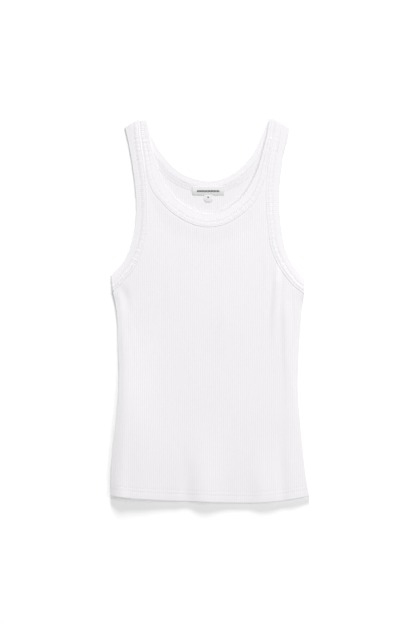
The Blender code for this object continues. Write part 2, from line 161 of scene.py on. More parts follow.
# Armhole bands, from the underarm up to the shoulder. Front and back lie on each other.
ARM_LEFT = named_rows(Across, [
    (-152.1, 55.2, -149.7, 31.3), (-149.1, 60.1, -139.1, 40.0),
    (-142.6, 66.2, -128.8, 51.4), (-135.1, 74.8, -119.5, 62.2),
    (-129.0, 85.1, -110.8, 76.2), (-122.3, 102.7, -102.7, 96.9),
    (-117.5, 122.9, -97.2, 119.8), (-113.7, 155.6, -95.2, 155.6),
    (-116.4, 200.8, -97.8, 203.9), (-119.7, 225.8, -101.1, 230.4),
    (-123.8, 250.7, -104.9, 255.4), (-127.5, 269.4, -107.5, 275.6),
    (-131.5, 286.2, -109.8, 298.0),
])
ARM_RIGHT = named_rows(Across, [
    (147.7, 50.3, 145.4, 27.9), (143.3, 55.3, 134.3, 36.1),
    (136.6, 63.4, 123.1, 47.8), (128.1, 75.3, 112.5, 62.2),
    (121.1, 89.4, 102.4, 80.1), (116.1, 105.8, 95.3, 99.6),
    (112.8, 126.0, 91.8, 124.5), (109.6, 160.0, 88.4, 160.0),
    (110.2, 203.9, 88.8, 203.9), (112.5, 225.8, 91.8, 228.9),
    (115.9, 247.6, 96.1, 250.7), (120.3, 265.5, 100.2, 270.9),
    (124.8, 284.2, 104.4, 297.0),
])

# The neck band, from the left shoulder to the right one: the front scoop, then the back scoop.
NECK_FRONT = named_rows(Across, [
    (-97.4, 297.2, -109.3, 296.6), (-93.9, 275.6, -107.0, 274.8),
    (-89.9, 255.4, -104.2, 253.8), (-79.1, 220.3, -97.1, 210.2),
    (-71.8, 201.6, -90.5, 189.9), (-58.1, 182.9, -74.5, 168.9),
    (-40.2, 166.6, -54.2, 149.9), (-22.3, 156.9, -30.1, 136.2),
    (-1.2, 151.3, -2.0, 130.2), (18.2, 154.6, 23.7, 134.3),
    (36.1, 165.3, 47.8, 147.9), (53.3, 180.6, 68.9, 166.6),
    (66.5, 201.6, 83.0, 190.7), (76.7, 224.5, 90.4, 218.0),
    (83.7, 249.1, 95.5, 244.5), (89.3, 270.2, 99.7, 267.8),
    (93.6, 300.2, 103.9, 297.4),
])
NECK_BACK = named_rows(Across, [
    (-97.4, 297.2, -109.3, 296.6), (-90.1, 274.1, -105.6, 267.8),
    (-79.9, 253.8, -96.9, 243.2), (-65.9, 235.1, -80.5, 221.7),
    (-45.6, 216.4, -55.5, 199.1), (-22.3, 206.3, -28.2, 187.3),
    (-1.2, 202.7, -1.2, 182.8), (22.9, 207.1, 29.1, 188.1),
    (43.2, 218.7, 53.8, 201.9), (60.3, 235.1, 75.6, 222.3),
    (71.2, 250.7, 88.7, 241.8), (79.8, 269.4, 95.5, 262.8),
    (93.6, 300.2, 103.9, 297.4),
])

# The front's folds, from the line's upper end to its lower one. `peak` is how far down the line
# the fold is highest.
FOLDS = named_rows(Fold, [
    (-120.0, 15.0, -132.0, -300.0, 4.3, 1.0, 27.0, 92.0),
    (-2.0, -165.0, -1.0, -300.0, 1.5, 1.0, 34.0, 36.0),
    (-30.0, -160.0, -30.0, -300.0, 1.0, 1.0, 60.0, 80.0),
    (84.0, -180.0, 85.0, -300.0, 1.4, 1.0, 23.0, 60.0),
    (122.0, -60.0, 131.0, -300.0, 1.0, 1.0, 18.0, 26.0),
    (107.5, 78.0, 98.0, -60.0, 1.7, 0.3, 8.0, 9.0),
    (117.5, 58.0, 124.0, -190.0, 1.1, 0.3, 9.0, 16.0),
    (-150.0, 34.0, -126.0, -110.0, 0.7, 0.35, 13.0, 22.0),
    (-136.0, 44.0, -124.0, -16.0, -0.7, 0.3, 9.0, 11.0),
])

# Finer creases that lie on the folds.
CREASES = named_rows(Fold, [
    (-128.0, 20.0, -110.0, -100.0, 0.15, 0.4, 6.0, 8.0),
    (-131.0, -20.0, -132.0, -280.0, 1.9, 0.5, 25.0, 60.0),
    (-143.0, -150.0, -145.0, -300.0, 2.3, 1.0, 14.0, 24.0),
    (133.0, 34.0, 134.0, -60.0, 0.35, 0.3, 4.0, 5.0),
    (140.0, 26.0, 137.0, -40.0, 0.25, 0.3, 3.0, 4.0),
    (91.0, 92.0, 84.0, 10.0, 0.3, 0.3, 5.0, 6.0),
    (-35.0, -205.0, -36.0, -300.0, -1.1, 1.0, 16.0, 15.0),
    (-11.0, -200.0, -12.0, -300.0, 1.1, 1.0, 19.0, 28.0),
    (54.0, -220.0, 55.0, -300.0, -0.25, 1.0, 14.0, 14.0),
    (76.0, -215.0, 77.0, -300.0, 0.7, 1.0, 18.0, 60.0),
    (111.0, -165.0, 113.0, -300.0, -0.6, 1.0, 12.0, 13.0),
    (98.0, 308.0, 74.0, 172.0, 0.6, 0.45, 24.0, 26.0),
    (-60.0, 110.0, -66.0, -40.0, 0.25, 0.5, 12.0, 14.0),
    (20.0, 80.0, 24.0, -110.0, 0.25, 0.5, 14.0, 14.0),
])


class Pucker(NamedTuple):
    """A place where a band's sewing ripples more than elsewhere."""

    x: float
    y: float
    reach: float
    strength: float


PUCKERS = named_rows(Pucker, [
    (-112.0, 86.0, 15.0, 1.3), (-143.0, 47.0, 11.0, 1.6),
    (114.0, 82.0, 15.0, 1.0), (140.0, 38.0, 10.0, 1.4),
    (-112.0, 262.0, 14.0, 1.2), (108.0, 262.0, 14.0, 1.2),
    (-50.0, 158.0, 16.0, 0.8), (62.0, 182.0, 16.0, 0.8),
])


class Wave(NamedTuple):
    """One part of an uneven line: its strength, its length, its start, and its length across."""

    strength: float
    length: float
    start: float = 0.0
    across: float = math.inf


# How the ribs sway from side to side over a panel, and how the sewing ripples along a band.
SWAYS = [Wave(0.35, 31.0, 0.0, 19.0), Wave(0.25, 13.0, 2.0, -27.0)]
RIPPLES = [Wave(0.5, 1.05, 1.3), Wave(0.3, 1.63), Wave(0.2, 0.71, 2.1)]


# ---------------------------------------------------------------- curves


def smooth_curve(rows: Sequence[Sequence[float]], count: int, samples_per_span: int = 24) -> Array:
    """Return rows evenly spaced on a smooth curve through every given row.

    Args:
        rows: The rows to pass through; the first two columns are X and Y.
        count: How many rows to return.
        samples_per_span: How finely the curve is followed between two rows.

    Returns:
        An array with `count` rows and the given columns.
    """
    table = np.array(rows, dtype=float)
    chords = np.linalg.norm(np.diff(table[:, :2], axis=0), axis=1)
    knots = np.concatenate([[0.0], np.cumsum(chords)])
    slopes = np.gradient(table, knots, axis=0)
    dense = []
    for i in range(len(table) - 1):
        span = knots[i + 1] - knots[i]
        for t in np.linspace(0.0, 1.0, samples_per_span, endpoint=False):
            start = (2 * t**3 - 3 * t**2 + 1) * table[i] + (t**3 - 2 * t**2 + t) * span * slopes[i]
            end = (3 * t**2 - 2 * t**3) * table[i + 1] + (t**3 - t**2) * span * slopes[i + 1]
            dense.append(start + end)
    dense.append(table[-1])
    dense = np.array(dense)
    along = travelled(dense[:, :2])
    wanted = np.linspace(0.0, along[-1], count)
    columns = [np.interp(wanted, along, dense[:, k]) for k in range(dense.shape[1])]
    return np.stack(columns, axis=1)


def travelled(points: Array) -> Array:
    """Return how far along a line of points each of them lies."""
    steps = np.linalg.norm(np.diff(points, axis=0), axis=1)
    return np.concatenate([[0.0], np.cumsum(steps)])


def even_curve(rows: Sequence[Sequence[float]], step: float) -> Array:
    """Return a smooth curve through the rows with a point about every `step` millimetres."""
    length = travelled(np.array(rows, dtype=float)[:, :2])[-1]
    return smooth_curve(rows, int(length / step) + 2)


def smooth_step(value: Array) -> Array:
    """Rise softly from 0 to 1 as the value goes from 0 to 1."""
    t = np.clip(value, 0.0, 1.0)
    return t * t * (3.0 - 2.0 * t)


def soft_peak(value: Array) -> Array:
    """Return 1 at zero, falling softly to 0 a few widths away."""
    return np.exp(-(value * value))


def waving(waves: Sequence[Wave], along: Array, across: Any = 0.0) -> Array:
    """Return the sum of some waves at each place."""
    return sum(
        wave.strength * np.sin(along / wave.length + across / wave.across + wave.start)
        for wave in waves
    )


def distance_to(points: Array, line: Array, block: int = 2048) -> Array:
    """Return how far each point lies from the nearest point of a closely spaced line.

    Args:
        points: The points, one to a row.
        line: The line's points, close enough together to stand for the line.
        block: How many points are measured at a time.

    Returns:
        One distance for each point.
    """
    found = np.empty(len(points))
    for first in range(0, len(points), block):
        part = points[first : first + block]
        gaps = part[:, None, :] - line[None, :, :]
        found[first : first + block] = np.sqrt((gaps**2).sum(axis=2).min(axis=1))
    return found


# ---------------------------------------------------------------- the garment's lines and drape


@dataclass(frozen=True)
class GarmentLines:
    """The edges and seams that every piece is cut and sewn to."""

    left_side: Array
    right_side: Array
    hem: Array
    left_arm: Array
    right_arm: Array
    front_neck: Array
    back_neck: Array

    @classmethod
    def drawn(cls, step: float = 3.0) -> "GarmentLines":
        """Draw every line from its table.

        Args:
            step: About how far apart a line's points lie.

        Returns:
            The lines.
        """
        tables = (SIDE_LEFT, SIDE_RIGHT, HEM_LINE, ARM_LEFT, ARM_RIGHT)
        *edges, left_arm, right_arm = (even_curve(table, step) for table in tables)
        necks = (even_curve(table, step) for table in (NECK_FRONT, NECK_BACK))
        fitted = (cls.between_arms(neck, left_arm, right_arm) for neck in necks)
        return cls(*edges, left_arm, right_arm, *fitted)

    @staticmethod
    def between_arms(neck: Array, left_arm: Array, right_arm: Array) -> Array:
        """Tuck the neck's seam under both armhole bands in the straps.

        Args:
            neck: The neck's stations.
            left_arm: The left armhole's stations.
            right_arm: The right armhole's stations.

        Returns:
            The neck's new stations.
        """
        fitted = neck.copy()
        for arm, side in ((left_arm, 1.0), (right_arm, -1.0)):
            arm_x = np.interp(neck[:, 3], arm[:, 3], arm[:, 2])
            gap = (fitted[:, 2] - arm_x) * side
            closed = smooth_step((STRAP_MEETING - gap) / STRAP_FADE)
            fitted[:, 2] = arm_x + side * (gap - (gap + STRAP_TUCK) * closed)
        return fitted

    def strap_share(self, stations: Array) -> Array:
        """Return 1 where a seam runs under an armhole band's seam, and 0 away from it."""
        x, y = stations[:, 2], stations[:, 3]
        arms = (self.left_arm, self.right_arm)
        gaps = [np.abs(x - np.interp(y, arm[:, 3], arm[:, 2])) for arm in arms]
        return smooth_step((STRAP_UNDER - np.minimum(*gaps)) / STRAP_FADE)

    def hem_y(self, x: Array) -> Array:
        """Return the height of the hem's edge at X."""
        return np.interp(x, self.hem[:, 0], self.hem[:, 1])

    def left_x(self, y: Array) -> Array:
        """Return the X of the left side at a height."""
        return np.interp(-y, -self.left_side[:, 1], self.left_side[:, 0])

    def right_x(self, y: Array) -> Array:
        """Return the X of the right side at a height."""
        return np.interp(-y, -self.right_side[:, 1], self.right_side[:, 0])

    def side_distance(self, x: Array, y: Array) -> Array:
        """Return how far a point lies in from the nearer side of the body."""
        return np.minimum(x - self.left_x(y), self.right_x(y) - x)


@dataclass(frozen=True)
class Drape:
    """How high the front lies over the table."""

    lines: GarmentLines
    folds: Sequence[Fold] = tuple(FOLDS)
    creases: Sequence[Fold] = tuple(CREASES)

    @staticmethod
    def fold_height(fold: Fold, x: Array, y: Array) -> Array:
        """Return one fold's height, with soft flanks and a soft start and end.

        Args:
            fold: The fold.
            x: Where the heights are wanted.
            y: Where the heights are wanted.

        Returns:
            The height that the fold adds at each place.
        """
        t = np.clip((fold.y_top - y) / (fold.y_top - fold.y_low), 0.0, 1.0)
        offset = x - (fold.x_top + t * (fold.x_low - fold.x_top))
        reach = np.where(offset < 0.0, fold.reach_left, fold.reach_right)
        flank = np.cos(np.clip(offset / reach, -1.0, 1.0) * math.pi / 2) ** 2
        rise = smooth_step(t / fold.peak)
        fall = 1.0 - smooth_step((t - fold.peak) / max(1.0 - fold.peak, MM))
        return fold.height * flank * np.where(t < fold.peak, rise, fall)

    def hem_share(self, x: Array, y: Array) -> Array:
        """Return 1 on the hem, falling to 0 a little way up the body."""
        return 1.0 - smooth_step((y - self.lines.hem_y(x) - HEM_DEPTH) / HEM_RISE)

    def height(self, x: Array, y: Array) -> Array:
        """Return the height of the front's outer face, before ribs, seams and edges."""
        rest = FRONT_REST + (FRONT_HEM_REST - FRONT_REST) * self.hem_share(x, y)
        for fold in (*self.folds, *self.creases):
            rest = rest + self.fold_height(fold, x, y)
        return rest

    def panel_height(self, x: Array, y: Array) -> Array:
        """Return the front panel's height, which rolls down to the back along the sides."""
        beside = 1.0 - smooth_step(self.lines.side_distance(x, y) / EDGE_ROLL)
        below_band = smooth_step((self.lines.left_side[0, 1] - y) / ROLL_FADE)
        drop = (FRONT_REST - FRONT_EDGE_REST) * beside * below_band
        return self.height(x, y) - drop * (1.0 - self.hem_share(x, y))


# ---------------------------------------------------------------- meshes


def in_scene(name: str, data: Any) -> Piece:
    """Return a new object of some data, in the scene."""
    made = bpy.data.objects.new(name, data)
    bpy.context.scene.collection.objects.link(made)
    return made


@dataclass
class Shell:
    """A closed wall of cloth in millimetres, with what the rib knit needs at each point.

    Attributes:
        points: The points, one to a row.
        faces: The faces, as tuples of point numbers.
        phase: How far across the ribs each point lies.
        lift: Which way, and how much, a rib raises each point.
        chart: Where each point lies on the flat cloth, for patterns that follow it.
    """

    points: Array
    faces: list[tuple[int, ...]]
    phase: Optional[Array] = None
    lift: Optional[Array] = None
    chart: Optional[Array] = None

    def face_outwards(self) -> None:
        """Turn every face over if the wall is inside out."""
        volume = 0.0
        for face in self.faces:
            a, b, c = (self.points[face[k]] for k in (0, 1, 2))
            volume += float(np.dot(a, np.cross(b, c)))
            if len(face) == 4:
                volume += float(np.dot(a, np.cross(c, self.points[face[3]])))
        if volume < 0.0:
            self.faces = [tuple(reversed(face)) for face in self.faces]

    def to_object(self, name: str) -> Piece:
        """Make the wall a smooth-shaded mesh object in metres.

        Args:
            name: The object's name.

        Returns:
            The object, in the scene.
        """
        mesh = bpy.data.meshes.new(name)
        mesh.from_pydata((self.points * MM).tolist(), [], self.faces)
        mesh.update()
        mesh.shade_smooth()
        mesh.set_sharp_from_angle(angle=math.radians(SHARP_TURN))
        if self.phase is not None:
            phase = mesh.attributes.new(RibTree.PHASE, "FLOAT", "POINT")
            phase.data.foreach_set("value", (self.phase * MM).astype(np.float32))
        if self.lift is not None:
            lift = mesh.attributes.new(RibTree.LIFT, "FLOAT_VECTOR", "POINT")
            lift.data.foreach_set("vector", self.lift.astype(np.float32).ravel())
        if self.chart is not None:
            corners = np.empty(len(mesh.loops), dtype=np.int32)
            mesh.loops.foreach_get("vertex_index", corners)
            layer = mesh.uv_layers.new(name=RibCotton.CHART)
            layer.data.foreach_set("uv", (self.chart[corners] * MM).astype(np.float32).ravel())
        return in_scene(name, mesh)


class ClippedGrid:
    """A grid of upright columns and level rows, cut to a closed outline.

    Attributes:
        points: The grid's points, then the places where it meets the outline.
        faces: The cells, as tuples of point numbers, counter-clockwise.
        rim: The numbers of the points round the edge, counter-clockwise.
    """

    SHORTEST_CUT = 0.03

    def __init__(self, columns: Array, rows: Array, outline: Array) -> None:
        """Cut the grid.

        Args:
            columns: The X of each column, rising.
            rows: The Y of each row, rising.
            outline: The outline's corners, in order.
        """
        self.columns = columns
        self.rows = rows
        self.up_cuts = [self.cuts(outline, x, 0) for x in columns]
        self.level_cuts = [self.cuts(outline, y, 1) for y in rows]
        self.inside = np.array([np.searchsorted(cuts, rows) % 2 == 1 for cuts in self.up_cuts])
        self.number = np.full(self.inside.shape, -1, dtype=int)
        self.number[self.inside] = np.arange(int(self.inside.sum()))
        column_of, row_of = np.nonzero(self.inside)
        self.places = list(zip(columns[column_of].tolist(), rows[row_of].tolist()))
        self.edge_numbers: dict[tuple[int, int, int], int] = {}
        self.faces = self.cells()
        self.points = np.array(self.places)
        self.rim = self.edge_loop()

    @staticmethod
    def cuts(outline: Array, value: float, axis: int) -> Array:
        """Return where the outline crosses a straight line, in rising order.

        Args:
            outline: The outline's corners.
            value: Where the line lies.
            axis: 0 for an upright line at an X, 1 for a level one at a Y.

        Returns:
            The crossings' places along the line.
        """
        following = np.roll(outline, -1, axis=0)
        hit = (outline[:, axis] <= value) != (following[:, axis] <= value)
        a, b = outline[hit], following[hit]
        share = (value - a[:, axis]) / (b[:, axis] - a[:, axis])
        return np.sort(a[:, 1 - axis] + share * (b[:, 1 - axis] - a[:, 1 - axis]))

    def cut_number(self, i: int, j: int, axis: int) -> int:
        """Return the number of the point where a cell's edge meets the outline.

        Args:
            i: The column of the edge's first end.
            j: The row of the edge's first end.
            axis: 0 for an edge along a row, 1 for one up a column.

        Returns:
            The point's number.
        """
        key = (i, j, axis)
        if key not in self.edge_numbers:
            line, at = (self.columns, i) if axis == 0 else (self.rows, j)
            cuts = self.level_cuts[j] if axis == 0 else self.up_cuts[i]
            low, high = line[at], line[at + 1]
            k = int(np.searchsorted(cuts, low))
            place = cuts[k] if k < len(cuts) and cuts[k] < high else (low + high) / 2
            margin = (high - low) * self.SHORTEST_CUT
            place = float(min(max(place, low + margin), high - margin))
            self.edge_numbers[key] = len(self.places)
            self.places.append((place, self.rows[j]) if axis == 0 else (self.columns[i], place))
        return self.edge_numbers[key]

    def cells(self) -> list[tuple[int, ...]]:
        """Return every whole cell, and every cut cell's inner part."""
        inside, number = self.inside, self.number
        filled = inside[:-1, :-1].astype(int) + inside[1:, :-1] + inside[1:, 1:] + inside[:-1, 1:]
        i, j = np.nonzero(filled == 4)
        whole = np.stack([number[i, j], number[i + 1, j], number[i + 1, j + 1], number[i, j + 1]])
        faces = [tuple(face) for face in whole.T.tolist()]
        for i, j in zip(*np.nonzero((filled > 0) & (filled < 4))):
            corners = ((i, j), (i + 1, j), (i + 1, j + 1), (i, j + 1))
            edges = ((i, j, 0), (i + 1, j, 1), (i, j + 1, 0), (i, j, 1))
            face = []
            for k in range(4):
                here, there = inside[corners[k]], inside[corners[(k + 1) % 4]]
                if here:
                    face.append(int(number[corners[k]]))
                if here != there:
                    face.append(self.cut_number(*edges[k]))
            faces.append(tuple(face))
        return faces

    def edge_loop(self) -> list[int]:
        """Return the points round the longest edge, counter-clockwise."""
        sides = {side for face in self.faces for side in zip(face, face[1:] + face[:1])}
        following = {a: b for a, b in sides if (b, a) not in sides}
        longest: list[int] = []
        while following:
            first, here = following.popitem()
            loop = [first]
            while here != first:
                loop.append(here)
                here = following.pop(here)
            if len(loop) > len(longest):
                longest = loop
        return longest


class NodeGraph:
    """A tree of nodes, each added with its settings and inputs in one call."""

    tree: bpy.types.NodeTree

    def node(
        self,
        kind: str,
        settings: Optional[dict[str, Any]] = None,
        inputs: Optional[dict[Any, Any]] = None,
    ) -> bpy.types.Node:
        """Add a node.

        Args:
            kind: The node's type.
            settings: Its settings, which are set first.
            inputs: Values, terms or sockets for its inputs.

        Returns:
            The node.
        """
        node = self.tree.nodes.new(kind)
        for name, value in (settings or {}).items():
            setattr(node, name, value)
        for name, value in (inputs or {}).items():
            self.feed(node.inputs[name], value)
        return node

    def feed(self, socket: Socket, value: Any) -> None:
        """Set a socket to a value, or link a term or another socket to it."""
        if isinstance(value, Term):
            value = value.socket
        if isinstance(value, Socket):
            self.tree.links.new(value, socket)
        else:
            socket.default_value = value


class GeometryTree(NodeGraph):
    """A Geometry Nodes tree with named inputs, which makes a piece's mesh."""

    def __init__(self, name: str) -> None:
        """Start an empty tree."""
        self.tree = bpy.data.node_groups.new(name, "GeometryNodeTree")
        for way in ("INPUT", "OUTPUT"):
            kind = "NodeSocketGeometry"
            self.tree.interface.new_socket("Geometry", in_out=way, socket_type=kind)
        self.entry = self.tree.nodes.new("NodeGroupInput")
        self.exit = self.tree.nodes.new("NodeGroupOutput")

    def add_input(self, name: str, kind: str) -> None:
        """Add a named input of a kind such as Float, Int or Material."""
        self.tree.interface.new_socket(name, in_out="INPUT", socket_type=f"NodeSocket{kind}")

    def math(self, operation: str, *terms: Any) -> Socket:
        """Return the result of a Math node on sockets or numbers."""
        inputs = dict(enumerate(terms))
        return self.node("ShaderNodeMath", {"operation": operation}, inputs).outputs[0]

    def scaled(self, vector: Socket, share: Any) -> Socket:
        """Return a vector made longer or shorter by a share."""
        inputs = {0: vector, "Scale": share}
        return self.node("ShaderNodeVectorMath", {"operation": "SCALE"}, inputs).outputs[0]

    def finish(self, geometry: Socket) -> None:
        """End the tree in real geometry that carries the material input.

        Args:
            geometry: What the tree has made.
        """
        real = self.node("GeometryNodeRealizeInstances", {}, {"Geometry": geometry})
        smooth = self.node("GeometryNodeSetShadeSmooth", {}, {"Geometry": real.outputs[0]})
        dressed = self.node(
            "GeometryNodeSetMaterial",
            {},
            {"Geometry": smooth.outputs[0], "Material": self.entry.outputs["Material"]},
        )
        self.tree.links.new(dressed.outputs[0], self.exit.inputs["Geometry"])

    def apply(self, piece: Piece, name: str, values: dict[str, Any]) -> Piece:
        """Run the tree on an object and keep the result as a plain mesh object.

        Args:
            piece: The object to run it on, which is removed.
            name: The name of the new object.
            values: A value for each of the tree's named inputs.

        Returns:
            The new object, with no modifier on it.
        """
        modifier = piece.modifiers.new(self.tree.name, "NODES")
        modifier.node_group = self.tree
        for item in self.tree.interface.items_tree:
            if item.in_out == "INPUT" and item.name in values:
                modifier[item.identifier] = values[item.name]
        depsgraph = bpy.context.evaluated_depsgraph_get()
        depsgraph.update()
        mesh = bpy.data.meshes.new_from_object(piece.evaluated_get(depsgraph))
        bpy.data.objects.remove(piece, do_unlink=True)
        mesh.name = name
        return in_scene(name, mesh)


class RibTree(GeometryTree):
    """Raises rounded ribs on a wall of cloth, along the lift stored at each point."""

    PHASE = "rib_phase"
    LIFT = "rib_lift"
    FURROW_SHARPNESS = 2.2
    NOISE_SCALE = 38.0

    def __init__(self) -> None:
        """Build the tree."""
        super().__init__("rib_knit")
        for name in ("Rib pitch", "Rib relief", "Unevenness", "Seed"):
            self.add_input(name, "Float")
        self.add_input("Material", "Material")
        given = self.entry.outputs
        stored = "GeometryNodeInputNamedAttribute"
        phase = self.node(stored, {"data_type": "FLOAT"}, {"Name": self.PHASE})
        lift = self.node(stored, {"data_type": "FLOAT_VECTOR"}, {"Name": self.LIFT})
        turn = self.math("FRACT", self.math("DIVIDE", phase.outputs[0], given["Rib pitch"]))
        from_crest = self.math("ABSOLUTE", self.math("MULTIPLY_ADD", turn, 2.0, -1.0))
        crest = self.math("SUBTRACT", 1.0, self.math("POWER", from_crest, self.FURROW_SHARPNESS))
        noise = self.node(
            "ShaderNodeTexNoise",
            {"noise_dimensions": "4D"},
            {"Scale": self.NOISE_SCALE, "W": given["Seed"], "Detail": 1.0},
        )
        swing = self.math("SUBTRACT", noise.outputs[0], 0.5)
        share = self.math("ADD", self.math("MULTIPLY", swing, given["Unevenness"]), 1.0)
        amount = self.math("MULTIPLY", self.math("MULTIPLY", crest, share), given["Rib relief"])
        offset = self.scaled(lift.outputs[0], amount)
        moved = {"Geometry": given["Geometry"], "Offset": offset}
        self.finish(self.node("GeometryNodeSetPosition", {}, moved).outputs[0])

    def knit(
        self,
        shell: Shell,
        name: str,
        material: Material,
        relief: float,
        unevenness: float,
        seed: float,
    ) -> Piece:
        """Make a wall of cloth a piece with its ribs raised.

        Args:
            shell: The wall.
            name: The piece's name.
            material: The knit.
            relief: How high the ribs stand.
            unevenness: How much their height varies.
            seed: The seed of that unevenness.

        Returns:
            The piece.
        """
        values = {
            "Rib pitch": RIB_PITCH * MM,
            "Rib relief": relief * MM,
            "Unevenness": unevenness,
            "Seed": seed,
            "Material": material,
        }
        return self.apply(shell.to_object(f"{name}_plain"), name, values)


class StitchTree(GeometryTree):
    """Lays short rounded stitches end to end along curves."""

    SEGMENTS = 6
    RINGS = 4

    def __init__(self) -> None:
        """Build the tree."""
        super().__init__("stitches")
        for name in ("Spacing", "Stitch length", "Thread width", "Thread height", "Waver"):
            self.add_input(name, "Float")
        self.add_input("Seed", "Int")
        self.add_input("Material", "Material")
        given = self.entry.outputs
        places = self.node(
            "GeometryNodeResampleCurve",
            {"mode": "LENGTH"},
            {"Curve": given["Geometry"], "Length": given["Spacing"]},
        )
        tangent = self.node("GeometryNodeInputTangent")
        along = {"Vector": tangent.outputs[0]}
        turned = self.node("FunctionNodeAlignRotationToVector", {"axis": "X"}, along)
        thread = self.node(
            "GeometryNodeMeshUVSphere",
            {},
            {"Segments": self.SEGMENTS, "Rings": self.RINGS, "Radius": 0.5},
        )
        size = self.node(
            "ShaderNodeCombineXYZ",
            {},
            {0: given["Stitch length"], 1: given["Thread width"], 2: given["Thread height"]},
        )
        least = self.math("SUBTRACT", 1.0, given["Waver"])
        most = self.math("ADD", 1.0, given["Waver"])
        chance = self.node("FunctionNodeRandomValue", {"data_type": "FLOAT"})
        # The node has a socket called Min and one called Max for each data type.
        plugs = {socket.identifier: socket for socket in chance.inputs}
        for name, socket in (("Min_001", least), ("Max_001", most), ("Seed", given["Seed"])):
            self.feed(plugs[name], socket)
        drawn = next(s for s in chance.outputs if s.identifier == "Value_001")
        laid = self.node(
            "GeometryNodeInstanceOnPoints",
            {},
            {
                "Points": places.outputs[0],
                "Instance": thread.outputs[0],
                "Rotation": turned.outputs[0],
                "Scale": self.scaled(size.outputs[0], drawn),
            },
        )
        self.finish(laid.outputs[0])


# ---------------------------------------------------------------- finishes


def operator(operation: str, reflected: bool = False) -> Callable[["Term", "Number"], "Term"]:
    """Return a term's method for an arithmetic operator; a reflected one has the term second."""

    def apply(term: "Term", other: "Number") -> "Term":
        """Add the Math node."""
        return term.graph.math(operation, *((other, term) if reflected else (term, other)))

    return apply


class Term:
    """A number that varies over a surface, with arithmetic that adds Math nodes."""

    def __init__(self, graph: "ShaderGraph", socket: Socket) -> None:
        """Hold a socket of a graph."""
        self.graph = graph
        self.socket = socket

    __add__ = operator("ADD")
    __radd__ = operator("ADD", reflected=True)
    __sub__ = operator("SUBTRACT")
    __rsub__ = operator("SUBTRACT", reflected=True)
    __mul__ = operator("MULTIPLY")
    __rmul__ = operator("MULTIPLY", reflected=True)
    __truediv__ = operator("DIVIDE")
    __pow__ = operator("POWER")


Number = float | int | Term
Colour = tuple[float, float, float, float]


class ShaderGraph(NodeGraph):
    """The node graph of one material."""

    def __init__(self, name: str) -> None:
        """Start a material with one Principled shader."""
        self.material = bpy.data.materials.new(name)
        self.material.use_nodes = True
        self.tree = self.material.node_tree
        self.shader = self.tree.nodes["Principled BSDF"]

    def math(self, operation: str, *terms: Number) -> Term:
        """Return the result of a Math node."""
        inputs = dict(enumerate(terms))
        return Term(self, self.node("ShaderNodeMath", {"operation": operation}, inputs).outputs[0])

    def mix(self, share: Number, first: Any, second: Any) -> Socket:
        """Return a colour between two colours.

        Args:
            share: How far it is from the first to the second.
            first: A colour.
            second: A colour.

        Returns:
            The colour's socket.
        """
        node = self.node("ShaderNodeMix", {"data_type": "RGBA"})
        plugs = {socket.identifier: socket for socket in node.inputs}
        self.feed(plugs["Factor_Float"], share)
        self.feed(plugs["A_Color"], first)
        self.feed(plugs["B_Color"], second)
        return next(s for s in node.outputs if s.identifier == "Result_Color")

    def noise(self, place: Any, scale: float, detail: float = 2.0) -> Term:
        """Return soft noise from 0 to 1 over a place."""
        inputs = {"Vector": place, "Scale": scale, "Detail": detail}
        return Term(self, self.node("ShaderNodeTexNoise", {}, inputs).outputs[0])

    def split(self, place: Any) -> tuple[Term, Term, Term]:
        """Return the three parts of a vector."""
        node = self.node("ShaderNodeSeparateXYZ", {}, {0: place})
        return tuple(Term(self, socket) for socket in node.outputs)

    def bump(self, height: Term, depth: float, strength: float) -> Socket:
        """Return a normal that shows a height from 0 to 1 as relief of a depth in metres."""
        inputs = {"Height": height, "Distance": depth, "Strength": strength}
        return self.node("ShaderNodeBump", {}, inputs).outputs[0]

    def dress(self, varying: dict[str, Any], constant: dict[str, Any]) -> Material:
        """Connect the shader and return the material.

        Args:
            varying: What changes over the surface, by socket name.
            constant: What is the same all over, by socket name.

        Returns:
            The finished material.
        """
        for name, value in (*constant.items(), *varying.items()):
            self.feed(self.shader.inputs[name], value)
        return self.material


class Follows(Enum):
    """What a pattern follows on a piece."""

    OBJECT = "object"
    CHART = "chart"


